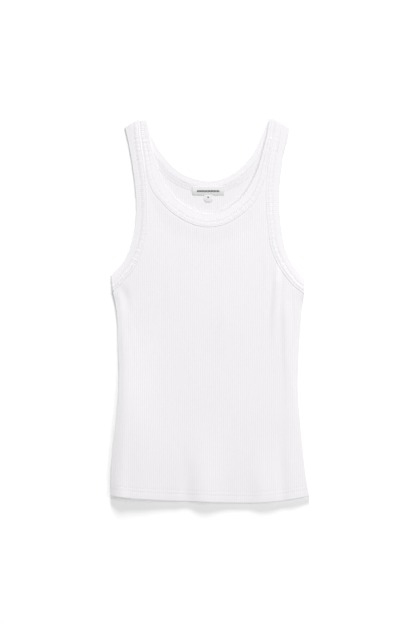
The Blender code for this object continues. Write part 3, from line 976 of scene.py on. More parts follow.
@dataclass(frozen=True)
class RibCotton:
    """White cotton rib knit: chevron stitches, fuzz, faint cloudiness and painted shade in its
    furrows and stitch gaps.
    """

    name: str
    follows: Follows
    colour: Colour = (0.816, 0.801, 0.824, 1.0)
    # The darker colour that the painted shade and the cloudiness mix towards.
    shade: Colour = (0.776, 0.761, 0.784, 1.0)
    pitch: float = RIB_PITCH * MM
    course: float = 1.15 * MM
    chevron: float = 0.42
    knit_depth: float = 0.16 * MM
    knit_share: float = 0.8
    fuzz_share: float = 0.2
    furrow_painted_shade: float = 0.1
    stitch_gap_painted_shade: float = 0.15
    cloud_shade: float = 0.4
    fuzz_scale: float = 2600.0
    cloud_scale: float = 14.0
    roughness: float = 0.88
    sheen: float = 0.18

    CHART = "cloth_chart"

    def material(self) -> Material:
        """Make the material."""
        graph = ShaderGraph(self.name)
        if self.follows is Follows.OBJECT:
            place = graph.node("ShaderNodeTexCoord").outputs["Object"]
        else:
            place = graph.node("ShaderNodeUVMap", {"uv_map": self.CHART}).outputs[0]
        across, along, _ = graph.split(place)
        turn = graph.math("FRACT", across / self.pitch)
        from_crest = graph.math("ABSOLUTE", turn * 2.0 - 1.0)
        wave = graph.math("SINE", (along / self.course + from_crest * self.chevron) * math.tau)
        crest = 1.0 - from_crest**3.0
        knit = (wave * 0.5 + 0.5) * crest
        fuzz = graph.noise(place, self.fuzz_scale)
        cloud = graph.noise(place, self.cloud_scale)
        # Painted shade: the colour darkens deep in the furrows between ribs and where the stitches
        # dip; the cloud is the knit's own uneven tone.
        furrow = from_crest**6.0 * self.furrow_painted_shade
        shade = furrow + (1.0 - knit) * self.stitch_gap_painted_shade + cloud * self.cloud_shade
        colour = graph.mix(graph.math("MINIMUM", shade, 1.0), self.colour, self.shade)
        relief = knit * self.knit_share + fuzz * self.fuzz_share
        normal = graph.bump(relief, self.knit_depth, 0.5)
        varying = {
            "Base Color": colour,
            "Roughness": self.roughness + (fuzz - 0.5) * 0.1,
            "Normal": normal,
        }
        constant = {
            "Sheen Weight": self.sheen,
            "Sheen Roughness": 0.5,
            "Specular IOR Level": 0.25,
        }
        return graph.dress(varying, constant)


@dataclass(frozen=True)
class SewingThread:
    """Spun sewing thread, with a twist along each stitch and painted shade in the twist's grooves.
    """

    name: str
    colour: Colour = (0.83, 0.815, 0.838, 1.0)
    shade: Colour = (0.77, 0.755, 0.778, 1.0)
    twist: float = 0.35 * MM
    roughness: float = 0.6

    def material(self) -> Material:
        """Make the material."""
        graph = ShaderGraph(self.name)
        place = graph.node("ShaderNodeTexCoord").outputs["Object"]
        x, y, z = graph.split(place)
        wave = graph.math("SINE", (x + y + z) * (math.tau / self.twist)) * 0.5 + 0.5
        # Painted shade: the colour darkens where the twist's bump sinks.
        colour = graph.mix(wave, self.shade, self.colour)
        normal = graph.bump(wave, 0.05 * MM, 0.4)
        return graph.dress(
            {"Base Color": colour, "Normal": normal, "Roughness": self.roughness + wave * 0.1},
            {"Specular IOR Level": 0.3},
        )


@dataclass(frozen=True)
class WovenSatin:
    """Label tape: fine level picks over a close warp, with a slight lustre and painted shade
    between the threads.
    """

    name: str
    colour: Colour
    shade: Colour
    pick: float = 0.32 * MM
    warp: float = 0.24 * MM
    roughness: float = 0.5

    def material(self) -> Material:
        """Make the material."""
        graph = ShaderGraph(self.name)
        place = graph.node("ShaderNodeTexCoord").outputs["Object"]
        x, y, _ = graph.split(place)
        picks = graph.math("SINE", y * (math.tau / self.pick)) * 0.5 + 0.5
        warps = graph.math("SINE", (x + y * 0.5) * (math.tau / self.warp)) * 0.5 + 0.5
        weave = picks * 0.65 + warps * 0.35
        fuzz = graph.noise(place, 1800.0)
        # Painted shade darkens the colour where the weave's bump sinks between the threads; the
        # fuzz adds the yarn's own uneven tone.
        colour = graph.mix(weave * 0.8 + fuzz * 0.2, self.shade, self.colour)
        normal = graph.bump(weave, 0.08 * MM, 0.4)
        return graph.dress(
            {"Base Color": colour, "Normal": normal, "Roughness": self.roughness + fuzz * 0.1},
            {"Specular IOR Level": 0.4},
        )


@dataclass(frozen=True)
class PaleSurface:
    """The plain matt surface that the garment lies on, which glows a little to stay pale."""

    name: str = "pale_surface"
    colour: Colour = (0.98, 0.98, 0.98, 1.0)
    glow: float = 0.065

    def material(self) -> Material:
        """Make the material."""
        graph = ShaderGraph(self.name)
        constant = {
            "Base Color": self.colour,
            "Roughness": 1.0,
            "Specular IOR Level": 0.0,
            "Emission Color": self.colour,
            "Emission Strength": self.glow,
        }
        return graph.dress({}, constant)


# ---------------------------------------------------------------- panels


Heights = Callable[[Array, Array], Array]


@dataclass
class Panel:
    """A panel of rib knit, cut to its seams, with a rounded hem and rounded side edges.

    Attributes:
        name, node: The piece's name and the solid that it stands for.
        lines: The garment's lines.
        neck: The stations of the neck band that it is sewn to.
        upper, lower: The heights of its faces.
        upper_ribs, lower_ribs: How much of the rib relief they show.
        neck_lift, arm_lift: How far the neck's seam and the armholes' seams lift it.
        lift_reach: How far from a seam the lift starts.
        seam_ditch, seam_width: How far the seams draw it in, and how widely.
        swell_share, swell_place, swell_width: The swell beside that ditch: its height as a share
            of the ditch's depth, how far from the seam it lies, and how wide it is.
        needle_depth, needle_width: How far the hem's needles draw it in, and how widely.
        press, press_width: How much of the ribs a needle line presses flat, and how widely.
        rib_margin, rib_fade: How far from an edge the ribs start, and the way to their full relief.
        sway_margin: How far from an edge the ribs sway freely.
        row_step, strap_row_step: How far apart the rows lie on the body, and above the underarms.
        strap_rows_from: The level where those closer rows start.
        tip_width: How narrow the panel gets in a strap before it ends.
        hem_level: The level of the hem's edge, before the rows are bent to it.
        hem_fade: How far up the rows keep to the hem's line.
        nose_steps: How many steps round off an edge.
        hem_nose: How far the hem's rounding stands out.
        hem_rows: How far up from that rounding the rows of the hem lie.
    """

    UNBEND_ROUNDS = 12
    # A strap's tip is looked for above a height, at so many levels.
    TIP_LOWEST = 100.0
    TIP_TRIES = 400
    # The outline runs below the hem; one row lies close above the step of the doubled hem.
    BELOW_HEM = 20.0
    HIGHEST_ROW = 300.0
    STEP_GAP = 0.15
    FAR_AWAY = 1000.0
    SEAM_SAMPLING = 0.8
    # How near an edge a place on the rim has to be to be rounded off, and how far up a side.
    ON_HEM = 0.01
    ON_SIDE = 0.25
    SIDE_ABOVE = 1.0

    name: str
    node: str
    lines: GarmentLines
    neck: Array
    upper: Heights
    lower: Heights
    upper_ribs: float
    lower_ribs: float
    neck_lift: float = 0.0
    arm_lift: float = 0.0
    lift_reach: float = 28.0
    seam_ditch: float = 0.04
    seam_width: float = 0.9
    swell_share: float = 0.6
    swell_place: float = 3.6
    swell_width: float = 2.0
    needle_depth: float = 0.12
    needle_width: float = 0.6
    press: float = 0.4
    press_width: float = 0.9
    rib_margin: float = 0.3
    rib_fade: float = 1.4
    sway_margin: float = 12.0
    row_step: float = 6.0
    strap_row_step: float = 4.0
    strap_rows_from: float = 20.0
    tip_width: float = 0.9
    hem_level: float = -296.0
    hem_fade: float = 150.0
    nose_steps: int = 6
    hem_nose: float = 0.45
    hem_rows: Sequence[float] = (
        1.6, 2.6, 4.2, 6.2, 8.2, 9.8, 10.5, 10.9, 11.4, 11.9, 12.3, 13.1, 14.4, 15.6, 16.3, 16.7,
        17.2, 17.7, 18.1, 18.9, 20.4, 22.6, 26.0, 30.5,
    )

    def bend(self, x: Array, level: Array) -> Array:
        """Return the Y of a row at X: rows follow the hem below and run level above."""
        share = 1.0 - smooth_step((level - self.hem_level) / self.hem_fade)
        return level + (self.lines.hem_y(x) - self.hem_level) * share

    def unbend(self, x: Array, y: Array) -> Array:
        """Return the level of the row that passes through a place."""
        level = y.copy()
        for _ in range(self.UNBEND_ROUNDS):
            level = level + (y - self.bend(x, level))
        return level

    def seam_line(self, stations: Array) -> Array:
        """Return a band's seam, moved a hair under the band's rounded edge."""
        across = stations[:, 2:4] - stations[:, 0:2]
        across /= np.linalg.norm(across, axis=1)[:, None]
        return stations[:, 2:4] - across * SEAM_TUCK

    @staticmethod
    def rising(line: Array, top: float) -> Array:
        """Return the part of a rising line below a height, ended exactly at it."""
        kept = line[line[:, 1] < top]
        return np.vstack([kept, [np.interp(top, line[:, 1], line[:, 0]), top]])

    def strap_tip(self, arm: Array, neck: Array) -> float:
        """Return how high the panel reaches between two seams in a strap.

        Args:
            arm: The armhole's seam.
            neck: The neck's seam.

        Returns:
            The height of the strap's tip.
        """
        low = max(neck[:, 1].min(), self.TIP_LOWEST)
        levels = np.linspace(low, min(arm[-1, 1], neck[:, 1].max()), self.TIP_TRIES)
        ordered = neck[np.argsort(neck[:, 1])]
        neck_x = np.interp(levels, ordered[:, 1], ordered[:, 0])
        wide = np.abs(neck_x - np.interp(levels, arm[:, 1], arm[:, 0])) > self.tip_width
        return float(levels[np.argmin(wide) if not wide.all() else -1])

    def outline(self) -> Array:
        """Return the outline that the grid is cut to, with the sides drawn in by their rounding."""
        inset = PANEL_WALL / 2
        left_arm = self.seam_line(self.lines.left_arm)
        right_arm = self.seam_line(self.lines.right_arm)
        neck = self.seam_line(self.neck)
        lowest = int(np.argmin(neck[:, 1]))
        left_neck, right_neck = neck[: lowest + 1][::-1], neck[lowest:]
        left_tip = self.strap_tip(left_arm, left_neck)
        right_tip = self.strap_tip(right_arm, right_neck)
        left_side = self.lines.left_side + [inset, 0.0]
        right_side = self.lines.right_side - [inset, 0.0]
        below = self.hem_level - self.BELOW_HEM
        parts = [
            [[left_side[-1, 0], below], [right_side[-1, 0], below]],
            right_side[::-1],
            self.rising(right_arm, right_tip)[1:],
            self.rising(right_neck, right_tip)[::-1],
            self.rising(left_neck, left_tip)[1:],
            self.rising(left_arm, left_tip)[::-1][:-1],
            left_side,
        ]
        outline = np.vstack(parts)
        outline[2:, 1] = self.unbend(outline[2:, 0], outline[2:, 1])
        return outline

    def row_levels(self) -> Array:
        """Return the level of every row: close on the hem, wider on the body."""
        first = self.hem_level + self.hem_nose
        hem = first + np.array(self.hem_rows)
        body = np.arange(hem[-1] + self.row_step, self.strap_rows_from, self.row_step)
        straps = np.arange(self.strap_rows_from, self.HIGHEST_ROW, self.strap_row_step)
        step = first + HEM_DEPTH - self.hem_nose
        rows = np.concatenate([[first], hem, body, straps, [step + self.STEP_GAP]])
        return np.unique(np.round(rows, 3))

    def seam_distance(self, x: Array, y: Array, bands: Sequence[Array]) -> Array:
        """Return how far each place lies from the nearest of some bands.

        Args:
            x: The places.
            y: The places.
            bands: The bands' stations.

        Returns:
            One distance for each place.
        """
        found = np.full(len(x), self.FAR_AWAY)
        near = y > 0.0
        places = np.stack([x[near], y[near]], axis=1)
        for stations in bands:
            seam = self.seam_line(stations)
            along = travelled(seam)
            fine = np.arange(0.0, along[-1], self.SEAM_SAMPLING)
            line = np.stack([np.interp(fine, along, seam[:, k]) for k in (0, 1)], axis=1)
            found[near] = np.minimum(found[near], distance_to(places, line))
        return found

    def rim_roll(self, x: Array, y: Array, level: Array) -> Array:
        """Return which way, and how far, the rounded edge stands out at each place on the rim.

        The hem's edge stands out downwards and the side edges sideways; a seam has no nose.

        Args:
            x: The rim's places.
            y: The rim's places.
            level: The levels of their rows.

        Returns:
            A step in X and Y for each place.
        """
        roll = np.zeros((len(x), 2))
        on_hem = level < self.hem_level + self.hem_nose + self.ON_HEM
        side_nose = PANEL_WALL / 2
        below_band = y < self.lines.left_side[0, 1] + self.SIDE_ABOVE
        on_left = below_band & (np.abs(x - self.lines.left_x(y) - side_nose) < self.ON_SIDE)
        on_right = below_band & (np.abs(self.lines.right_x(y) - side_nose - x) < self.ON_SIDE)
        roll[on_left, 0] = -side_nose
        roll[on_right, 0] = side_nose
        roll[on_hem, 1] = -self.hem_nose
        return roll

    def rib_share(self, inward: Array, hem: Array) -> Array:
        """Return how much of its ribs each place shows: none on an edge, less on a needle line."""
        share = smooth_step((inward - self.rib_margin) / self.rib_fade)
        for needle in HEM_NEEDLES:
            share = share * (1.0 - self.press * soft_peak((hem - needle) / self.press_width))
        return share

    def ditch(self, seam: Array, hem: Array) -> Array:
        """Return how far the seams and the hem's needles draw the upper face down."""
        swell = self.swell_share * soft_peak((seam - self.swell_place) / self.swell_width)
        ditch = self.seam_ditch * (soft_peak(seam / self.seam_width) - swell)
        for needle in HEM_NEEDLES:
            ditch = ditch + self.needle_depth * soft_peak((hem - needle) / self.needle_width)
        return ditch

    def lift(self, neck: Array, arm: Array) -> Array:
        """Return how far the nearest band lifts the cloth."""
        neck_lift = self.neck_lift * (1.0 - smooth_step(neck / self.lift_reach))
        arm_lift = self.arm_lift * (1.0 - smooth_step(arm / self.lift_reach))
        return np.maximum(neck_lift, arm_lift)

    def wall_faces(self, grid: ClippedGrid, count: int) -> list[tuple[int, ...]]:
        """Return the faces of both sides of the wall and of the rounded edge between them.

        Args:
            grid: The grid that both sides share.
            count: How many points it has.

        Returns:
            The faces, as tuples of point numbers.
        """
        rim = np.array(grid.rim)
        under = count + (self.nose_steps - 1) * len(rim)
        faces = list(grid.faces)
        faces += [tuple(under + v for v in reversed(face)) for face in grid.faces]
        rings = [rim]
        rings += [count + k * len(rim) + np.arange(len(rim)) for k in range(self.nose_steps - 1)]
        rings.append(under + rim)
        for high, low in zip(rings, rings[1:]):
            high_next, low_next = np.roll(high, -1), np.roll(low, -1)
            strip = np.stack([high_next, high, low, low_next], axis=1)
            faces += [tuple(face) for face in strip.tolist()]
        return faces

    def shell(self) -> Shell:
        """Return the panel's closed wall."""
        reach = math.ceil(-self.lines.left_side[:, 0].min() / RIB_PITCH) * RIB_PITCH
        step = RIB_PITCH / COLUMNS_PER_RIB
        columns = np.arange(-reach, reach + step / 2, step)
        grid = ClippedGrid(columns, self.row_levels(), self.outline())
        x, level = grid.points[:, 0], grid.points[:, 1]
        y = self.bend(x, level)
        arm = self.seam_distance(x, y, (self.lines.left_arm, self.lines.right_arm))
        neck = self.seam_distance(x, y, (self.neck,))
        seam = np.minimum(arm, neck)
        hem = y - self.lines.hem_y(x)
        inward = np.minimum(np.minimum(seam, self.lines.side_distance(x, y)), hem)
        share = self.rib_share(inward, hem)
        lift = self.lift(neck, arm)
        level_ribs = RIB_RELIEF * RIB_MEAN * self.upper_ribs * (1.0 - share)
        upper = self.upper(x, y) + lift - self.ditch(seam, hem) + level_ribs
        lower = self.lower(x, y) + lift
        shown_x = x + waving(SWAYS, y, x) * smooth_step(inward / self.sway_margin)
        points = [np.stack([shown_x, y, upper], axis=1)]
        lifts = [np.stack([0 * x, 0 * x, share * self.upper_ribs], axis=1)]
        phases = [x]
        rim = np.array(grid.rim)
        roll = self.rim_roll(x[rim], y[rim], level[rim])
        middle = (upper[rim] + lower[rim]) / 2
        half = (upper[rim] - lower[rim]) / 2
        for k in range(1, self.nose_steps):
            angle = math.pi * k / self.nose_steps
            out = roll * math.sin(angle)
            height = middle + half * math.cos(angle)
            points.append(np.stack([x[rim] + out[:, 0], y[rim] + out[:, 1], height], axis=1))
            lifts.append(np.zeros((len(rim), 3)))
            phases.append(x[rim])
        points.append(np.stack([shown_x, y, lower], axis=1))
        lifts.append(np.stack([0 * x, 0 * x, -share * self.lower_ribs], axis=1))
        phases.append(x)
        faces = self.wall_faces(grid, len(x))
        return Shell(np.vstack(points), faces, np.concatenate(phases), np.vstack(lifts))

    def build(self, ribs: RibTree, material: Material) -> Piece:
        """Build the panel's piece, with its ribs raised."""
        return ribs.knit(self.shell(), self.name, material, RIB_RELIEF, unevenness=0.5, seed=3.0)


# ---------------------------------------------------------------- bands


@dataclass(frozen=True)
class BandSection:
    """A band's wall from its free edge to its seam, with two needle lines pressed into it.

    Attributes:
        nose_steps: How many steps round off each long edge.
        edge_nose, seam_nose: How wide the rounding is along the free edge and beside the seam.
        droop, thinner: How far the front's free edge rolls down, and how much thinner it is.
        droop_reach: How far from the free edge that starts.
        crown, welt: How far the front stands up outside the needle lines, and between them.
        groove, groove_width: How deep the needles draw it in, and how widely.
        inner_groove: How deep the needle lines show on the inner face.
        inner_slope, slope_reach: How far the inner face slopes down to its seam, and from where.
        spans: Into how many faces each stretch between the stops is cut.
        crowding: How far the first stretch's faces crowd towards the free edge.
    """

    # On a narrow band the needles keep to these shares of its width, in from the seam.
    NEEDLE_SHARES = (0.24, 0.62)
    # How far a groove's faces reach, in groove widths, and how long two stretches are at least.
    GROOVE_REACH = 1.8
    LEAST_MIDDLE = 0.2
    LEAST_END = 0.1

    nose_steps: int = 5
    edge_nose: float = 0.7
    seam_nose: float = 1.0
    droop: float = 1.3
    thinner: float = 0.7
    droop_reach: float = 18.0
    crown: float = 0.2
    welt: float = 0.14
    groove: float = 0.2
    groove_width: float = 0.8
    inner_groove: float = 0.1
    inner_slope: float = 0.65
    slope_reach: float = 11.0
    spans: Sequence[int] = (7, 2, 2, 4, 2, 2, 2)
    crowding: float = 1.9

    def needle_places(self, width: Array) -> tuple[Array, Array]:
        """Return how far the outer and the inner needle line lie from the free edge."""
        near, far = (
            width - np.minimum(needle, width * share)
            for needle, share in zip(BAND_NEEDLES, self.NEEDLE_SHARES)
        )
        return far, near

    def face_places(self, width: Array) -> Array:
        """Return where the points of a face lie across the band, for each width.

        Args:
            width: The band's widths.

        Returns:
            A row of distances from the free edge for each width.
        """
        far, near = self.needle_places(width)
        reach = self.groove_width * self.GROOVE_REACH
        stops = [0 * width + self.edge_nose, far - reach, far, far + reach]
        stops += [near - reach, near, near + reach, width - self.seam_nose]
        stops[4] = np.maximum(stops[4], stops[3] + self.LEAST_MIDDLE)
        stops[6] = np.minimum(stops[6], stops[7] - self.LEAST_END)
        places = [stops[0]]
        for low, high, count in zip(stops, stops[1:], self.spans):
            power = self.crowding if low is stops[0] else 1.0
            places += [low + (high - low) * ((k + 1) / count) ** power for k in range(count)]
        return np.stack(places, axis=1)

    def grooves(self, places: Array, width: Array) -> Array:
        """Return how much of the needles' pull each place feels, from 0 to 1."""
        far, near = self.needle_places(width)
        pull = soft_peak((places - far[:, None]) / self.groove_width)
        return pull + soft_peak((places - near[:, None]) / self.groove_width)

    def swell(self, places: Array, width: Array) -> Array:
        """Return how far the front stands up between its edges and needle lines."""
        far, near = (line[:, None] for line in self.needle_places(width))
        outside = np.sin(math.pi * np.clip(places / far, 0.0, 1.0)) * (places < far)
        between = np.sin(math.pi * np.clip((places - far) / (near - far), 0.0, 1.0))
        return self.crown * outside + self.welt * between

    def edge_share(self, places: Array) -> Array:
        """Return 1 on the free edge, falling to 0 a little way in."""
        return 1.0 - smooth_step(places / self.droop_reach)


ARM_SECTION = BandSection(edge_nose=0.4)
NECK_SECTION = BandSection(
    edge_nose=0.3,
    seam_nose=0.8,
    droop=0.85,
    thinner=0.4,
    droop_reach=20.0,
    crown=0.05,
    welt=0.03,
    groove=0.06,
)


# The runs of stations round a band, in order.
BACK_RUN, END_FOLD, FRONT_RUN, START_FOLD = range(4)
ALL_RUNS = (BACK_RUN, END_FOLD, FRONT_RUN, START_FOLD)


class Lap(NamedTuple):
    """A run of stations round a band, along its back, along its front or round a fold."""

    stations: Array
    turns: Array
    side: float


@dataclass
class Band:
    """A closed rib band that runs along the back, folds over, and returns along the front.

    Attributes:
        name, node: The piece's name and the solid that it stands for.
        drape: How high the front lies.
        back, front: The tables of the band's run along the back and along the front.
        start_side, end_side: Which way the folds at the run's start and at its end stand out.
        section: The band's wall.
        station_step, fold_steps: How far apart the stations lie, and how many turn round a fold.
        least_radius: How tightly a fold turns at the most.
        strap_sink, strap_reach: How far the neck band sinks under an armhole band, and how widely.
        pucker: How deep the sewing puckers it.
        rib_fade: Over what distance its ribs rise to their full relief.
        press: How much of them a needle line presses flat.
        sewn_width: How wide the puckers are, against the space between the needle lines.
        least_wall: How thin the wall is at its thinnest.
        stitch_rise: How far a stitch stands out of its groove.
        back_sink: How much deeper it lies on the back, which rests on the table.
    """

    name: str
    node: str
    drape: Drape
    back: Sequence[Across]
    front: Sequence[Across]
    start_side: float
    end_side: float
    section: BandSection
    station_step: float = RIB_PITCH / COLUMNS_PER_RIB
    fold_steps: int = 11
    least_radius: float = 0.08
    strap_sink: float = 0.4
    strap_reach: float = 4.0
    pucker: float = 0.07
    rib_fade: float = 0.8
    press: float = 0.5
    sewn_width: float = 0.75
    least_wall: float = 0.6
    stitch_rise: float = 0.02
    back_sink: float = 0.16

    def run(self, rows: Sequence[Across]) -> Array:
        """Return closely spaced stations through a table, a whole number of ribs long.

        Args:
            rows: The table.

        Returns:
            The stations.
        """
        length = travelled(np.array(rows, dtype=float)[:, :2])[-1]
        count = round(length / self.station_step / COLUMNS_PER_RIB) * COLUMNS_PER_RIB
        stations = smooth_curve(rows, count)
        lines = self.drape.lines
        if self.is_neck():
            stations = lines.between_arms(stations, lines.left_arm, lines.right_arm)
        return stations

    def is_neck(self) -> bool:
        """Tell whether this band is the neck's, whose front and back runs differ."""
        return self.back is not self.front

    def laps(self) -> list[Lap]:
        """Return the runs of stations in order round the band."""
        back, front = self.run(self.back), self.run(self.front)
        turns = (np.arange(self.fold_steps) + 1) / (self.fold_steps + 1)
        over = np.repeat(back[-1:], self.fold_steps, axis=0)
        under = np.repeat(back[:1], self.fold_steps, axis=0)
        return [
            Lap(back, np.zeros(len(back)), 1.0),
            Lap(over, turns, self.end_side),
            Lap(front[::-1], np.ones(len(front)), 1.0),
            Lap(under, turns[::-1], self.start_side),
        ]

    def course(self, chosen: Sequence[int] = ALL_RUNS) -> tuple[Array, Array, Array]:
        """Join the chosen runs round the band.

        Args:
            chosen: The runs, in order.

        Returns:
            Their stations, turns and fold sides.
        """
        runs = self.laps()
        laps = [runs[k] for k in chosen]
        stations = np.vstack([lap.stations for lap in laps])
        turns = np.concatenate([lap.turns for lap in laps])
        sides = np.concatenate([np.full(len(lap.turns), lap.side) for lap in laps])
        return stations, turns, sides

    def ripple(self, stations: Array) -> Array:
        """Return the uneven pucker of the sewing at each station."""
        along = np.arange(len(stations)) * self.station_step
        strength = np.ones_like(along)
        for place in PUCKERS:
            away = np.hypot(stations[:, 2] - place.x, stations[:, 3] - place.y)
            strength = strength + place.strength * soft_peak(away / place.reach)
        return waving(RIPPLES, along) * strength

    def place(
        self, stations: Array, turns: Array, sides: Array, across: Array, depth: Array
    ) -> tuple[Array, Array]:
        """Return points of the band and the way out of its outer face there.

        Args:
            stations: The stations.
            turns: How far each is round a fold, from 0 on the back to 1 on the front.
            sides: Which way each fold stands out.
            across: How far from the free edge the points lie, a row for each station.
            depth: How far under the outer face they lie.

        Returns:
            The points and the directions, a row of them for each station.
        """
        edge, seam = stations[:, None, 0:2], stations[:, None, 2:4]
        way = (seam - edge) / np.linalg.norm(seam - edge, axis=2)[:, :, None]
        flat = edge + way * across[:, :, None]
        top = self.drape.height(flat[:, :, 0], flat[:, :, 1]) + BAND_PROUD
        angle = (math.pi * turns)[:, None]
        radius = np.maximum(top / 2 - depth, self.least_radius)
        outward = np.concatenate([-way[:, :, 1:2], way[:, :, 0:1]], axis=2) * sides[:, None, None]
        flat = flat + outward * (radius * np.sin(angle))[:, :, None]
        height = top / 2 - radius * np.cos(angle)
        points = np.concatenate([flat, height[:, :, None]], axis=2)
        level = outward * np.sin(angle)[:, :, None] + np.zeros_like(flat)
        upright = np.broadcast_to(-np.cos(angle), height.shape)
        return points, np.concatenate([level, upright[:, :, None]], axis=2)

    def shell(self) -> Shell:
        """Return the band's closed wall."""
        stations, turns, sides = self.course()
        width = np.linalg.norm(stations[:, 2:4] - stations[:, 0:2], axis=1)
        face = self.section.face_places(width)
        pull = self.section.grooves(face, width)
        inward = np.minimum(face, width[:, None] - face)
        ribs = smooth_step((inward - self.section.edge_nose) / self.rib_fade)
        ribs = ribs * (1.0 - self.press * np.minimum(pull, 1.0))
        outer, inner = self.depths(stations, turns, width, face, ribs, pull)
        across, depth = self.ring(width, face, outer, inner)
        still = np.zeros((len(stations), self.section.nose_steps))
        weight = np.hstack([ribs, still, -ribs[:, ::-1], still])
        points, outwards = self.place(stations, turns, sides, across, depth)
        lift = (outwards * weight[:, :, None]).reshape(-1, 3)
        size = points.shape[1]
        phase = np.repeat(np.arange(len(stations)) * self.station_step, size)
        chart = np.stack([phase, across.ravel()], axis=1)
        shell = Shell(points.reshape(-1, 3), self.tube(len(stations), size), phase, lift, chart)
        shell.face_outwards()
        return shell

    def depths(
        self,
        stations: Array,
        turns: Array,
        width: Array,
        face: Array,
        ribs: Array,
        pull: Array,
    ) -> tuple[Array, Array]:
        """Return how far under the band's full height its outer and inner face lie.

        Args:
            stations: The stations.
            turns: How far each is round a fold, from 0 on the back to 1 on the front.
            width: How wide the band is at each.
            face: How far from the free edge the points of a face lie, a row for each station.
            ribs: How much of its ribs each point shows.
            pull: How much of the needles' pull each point feels.

        Returns:
            The depths of the outer and the inner face, a row for each station.
        """
        section = self.section
        raised = smooth_step(turns)[:, None]
        far, near = (line[:, None] for line in section.needle_places(width))
        sewn = soft_peak((face - (far + near) / 2) / (near - far) / self.sewn_width)
        pucker = self.pucker * self.ripple(stations)[:, None] * sewn * raised
        drawn = BAND_RIB_RELIEF * ribs + section.groove * pull
        outer = drawn - section.swell(face, width) * raised - pucker
        outer = np.maximum(outer, 0.0) * (1.0 - raised) + outer * raised
        edge = section.edge_share(face)
        outer = outer + section.droop * edge * raised
        from_seam = width[:, None] - face
        if self.is_neck():
            tucked = self.drape.lines.strap_share(stations)[:, None]
            sunk = smooth_step(1.0 - from_seam / self.strap_reach)
            outer = outer + self.strap_sink * tucked * sunk
        slope = smooth_step(1.0 - from_seam / section.slope_reach)
        inner = BAND_WALL - BAND_RIB_RELIEF * ribs - section.inner_groove * pull
        inner = inner - section.inner_slope * slope
        inner = inner + (section.droop * raised - section.thinner) * edge
        return outer, np.maximum(inner, outer + self.least_wall)

    def ring(self, width: Array, face: Array, outer: Array, inner: Array) -> tuple[Array, Array]:
        """Return where the points lie all round the wall, over both faces and both edges.

        Args:
            width: How wide the band is at each station.
            face: How far from the free edge the points of a face lie.
            outer: How deep the outer face's points lie.
            inner: How deep the inner face's points lie.

        Returns:
            How far from the free edge the points lie, and how deep, a row for each station.
        """
        section = self.section
        angles = math.pi * (np.arange(section.nose_steps) + 1) / (section.nose_steps + 1)
        turned = (1.0 - np.sin(angles))[None, :] + 0 * width[:, None]
        share = (1.0 - np.cos(angles))[None, :] / 2
        round_seam = outer[:, -1:] + (inner[:, -1:] - outer[:, -1:]) * share
        round_edge = outer[:, :1] + (inner[:, :1] - outer[:, :1]) * share
        seam_place = width[:, None] - section.seam_nose * turned
        edge_place = (section.edge_nose * turned)[:, ::-1]
        across = np.hstack([face, seam_place, face[:, ::-1], edge_place])
        return across, np.hstack([outer, round_seam, inner[:, ::-1], round_edge[:, ::-1]])

    @staticmethod
    def tube(rings: int, size: int) -> list[tuple[int, ...]]:
        """Return the faces of a closed loop of rings."""
        here = np.arange(rings * size).reshape(rings, size)
        there = np.roll(here, -1, axis=0)
        corners = [here, np.roll(here, -1, axis=1), np.roll(there, -1, axis=1), there]
        faces = np.stack(corners, axis=2)
        return [tuple(face) for face in faces.reshape(-1, 4).tolist()]

    def needle_line(self, line: int, inside: bool, laps: Sequence[int]) -> Array:
        """Return the path of one row of stitches.

        Args:
            line: 0 for the needle line nearer the free edge, 1 for the one nearer the seam.
            inside: Whether the stitches lie on the inner face.
            laps: Which runs of the band they follow.

        Returns:
            The path's points.
        """
        stations, turns, sides = self.course(laps)
        width = np.linalg.norm(stations[:, 2:4] - stations[:, 0:2], axis=1)
        across = self.section.needle_places(width)[line][:, None]
        groove = self.section.groove - self.stitch_rise
        depth = groove + self.back_sink * (1.0 - turns[:, None])
        if inside:
            slope = smooth_step(1.0 - (width[:, None] - across) / self.section.slope_reach)
            depth = BAND_WALL - self.section.inner_groove - self.section.inner_slope * slope
        points, _ = self.place(stations, turns, sides, across, depth)
        return points[:, 0, :]

    def build(self, ribs: RibTree, material: Material) -> Piece:
        """Build the band's piece, with its ribs raised."""
        shell, relief = self.shell(), BAND_RIB_RELIEF
        return ribs.knit(shell, self.name, material, relief, unevenness=0.4, seed=7.0)


# ---------------------------------------------------------------- stitches


@dataclass
class Seam:
    """Rows of stitches laid along paths.

    Attributes:
        name: The piece's name.
        paths: The paths, in millimetres.
        spacing, length: How far apart the stitches start, and how long one is.
        width, height: How wide and how thick the thread lies.
        seed: The seed of the stitches' unevenness.
    """

    name: str
    paths: Sequence[Array]
    spacing: float = 3.1
    length: float = 2.7
    width: float = 0.5
    height: float = 0.3
    seed: int = 1

    def build(self, tree: StitchTree, material: Material) -> Piece:
        """Lay the stitches and return them as one piece.

        Args:
            tree: The tree that lays them.
            material: The thread.

        Returns:
            The piece.
        """
        curve = bpy.data.curves.new(f"{self.name}_paths", "CURVE")
        curve.dimensions = "3D"
        for path in self.paths:
            spline = curve.splines.new("POLY")
            spline.points.add(len(path) - 1)
            rows = np.hstack([path * MM, np.ones((len(path), 1))])
            spline.points.foreach_set("co", rows.astype(np.float32).ravel())
        values = {
            "Spacing": self.spacing * MM,
            "Stitch length": self.length * MM,
            "Thread width": self.width * MM,
            "Thread height": self.height * MM,
            "Waver": 0.08,
            "Seed": self.seed,
            "Material": material,
        }
        return tree.apply(in_scene(f"{self.name}_paths", curve), self.name, values)


# ---------------------------------------------------------------- label and tab


def ring_faces(rings: int, count: int) -> list[tuple[int, ...]]:
    """Return the faces between rings of points that lie one after the other.

    Args:
        rings: How many rings there are.
        count: How many points a ring has.

    Returns:
        The faces, as tuples of point numbers.
    """
    faces = []
    for k in range(rings - 1):
        for i in range(count):
            j = (i + 1) % count
            faces.append((k * count + i, (k + 1) * count + i, (k + 1) * count + j, k * count + j))
    return faces


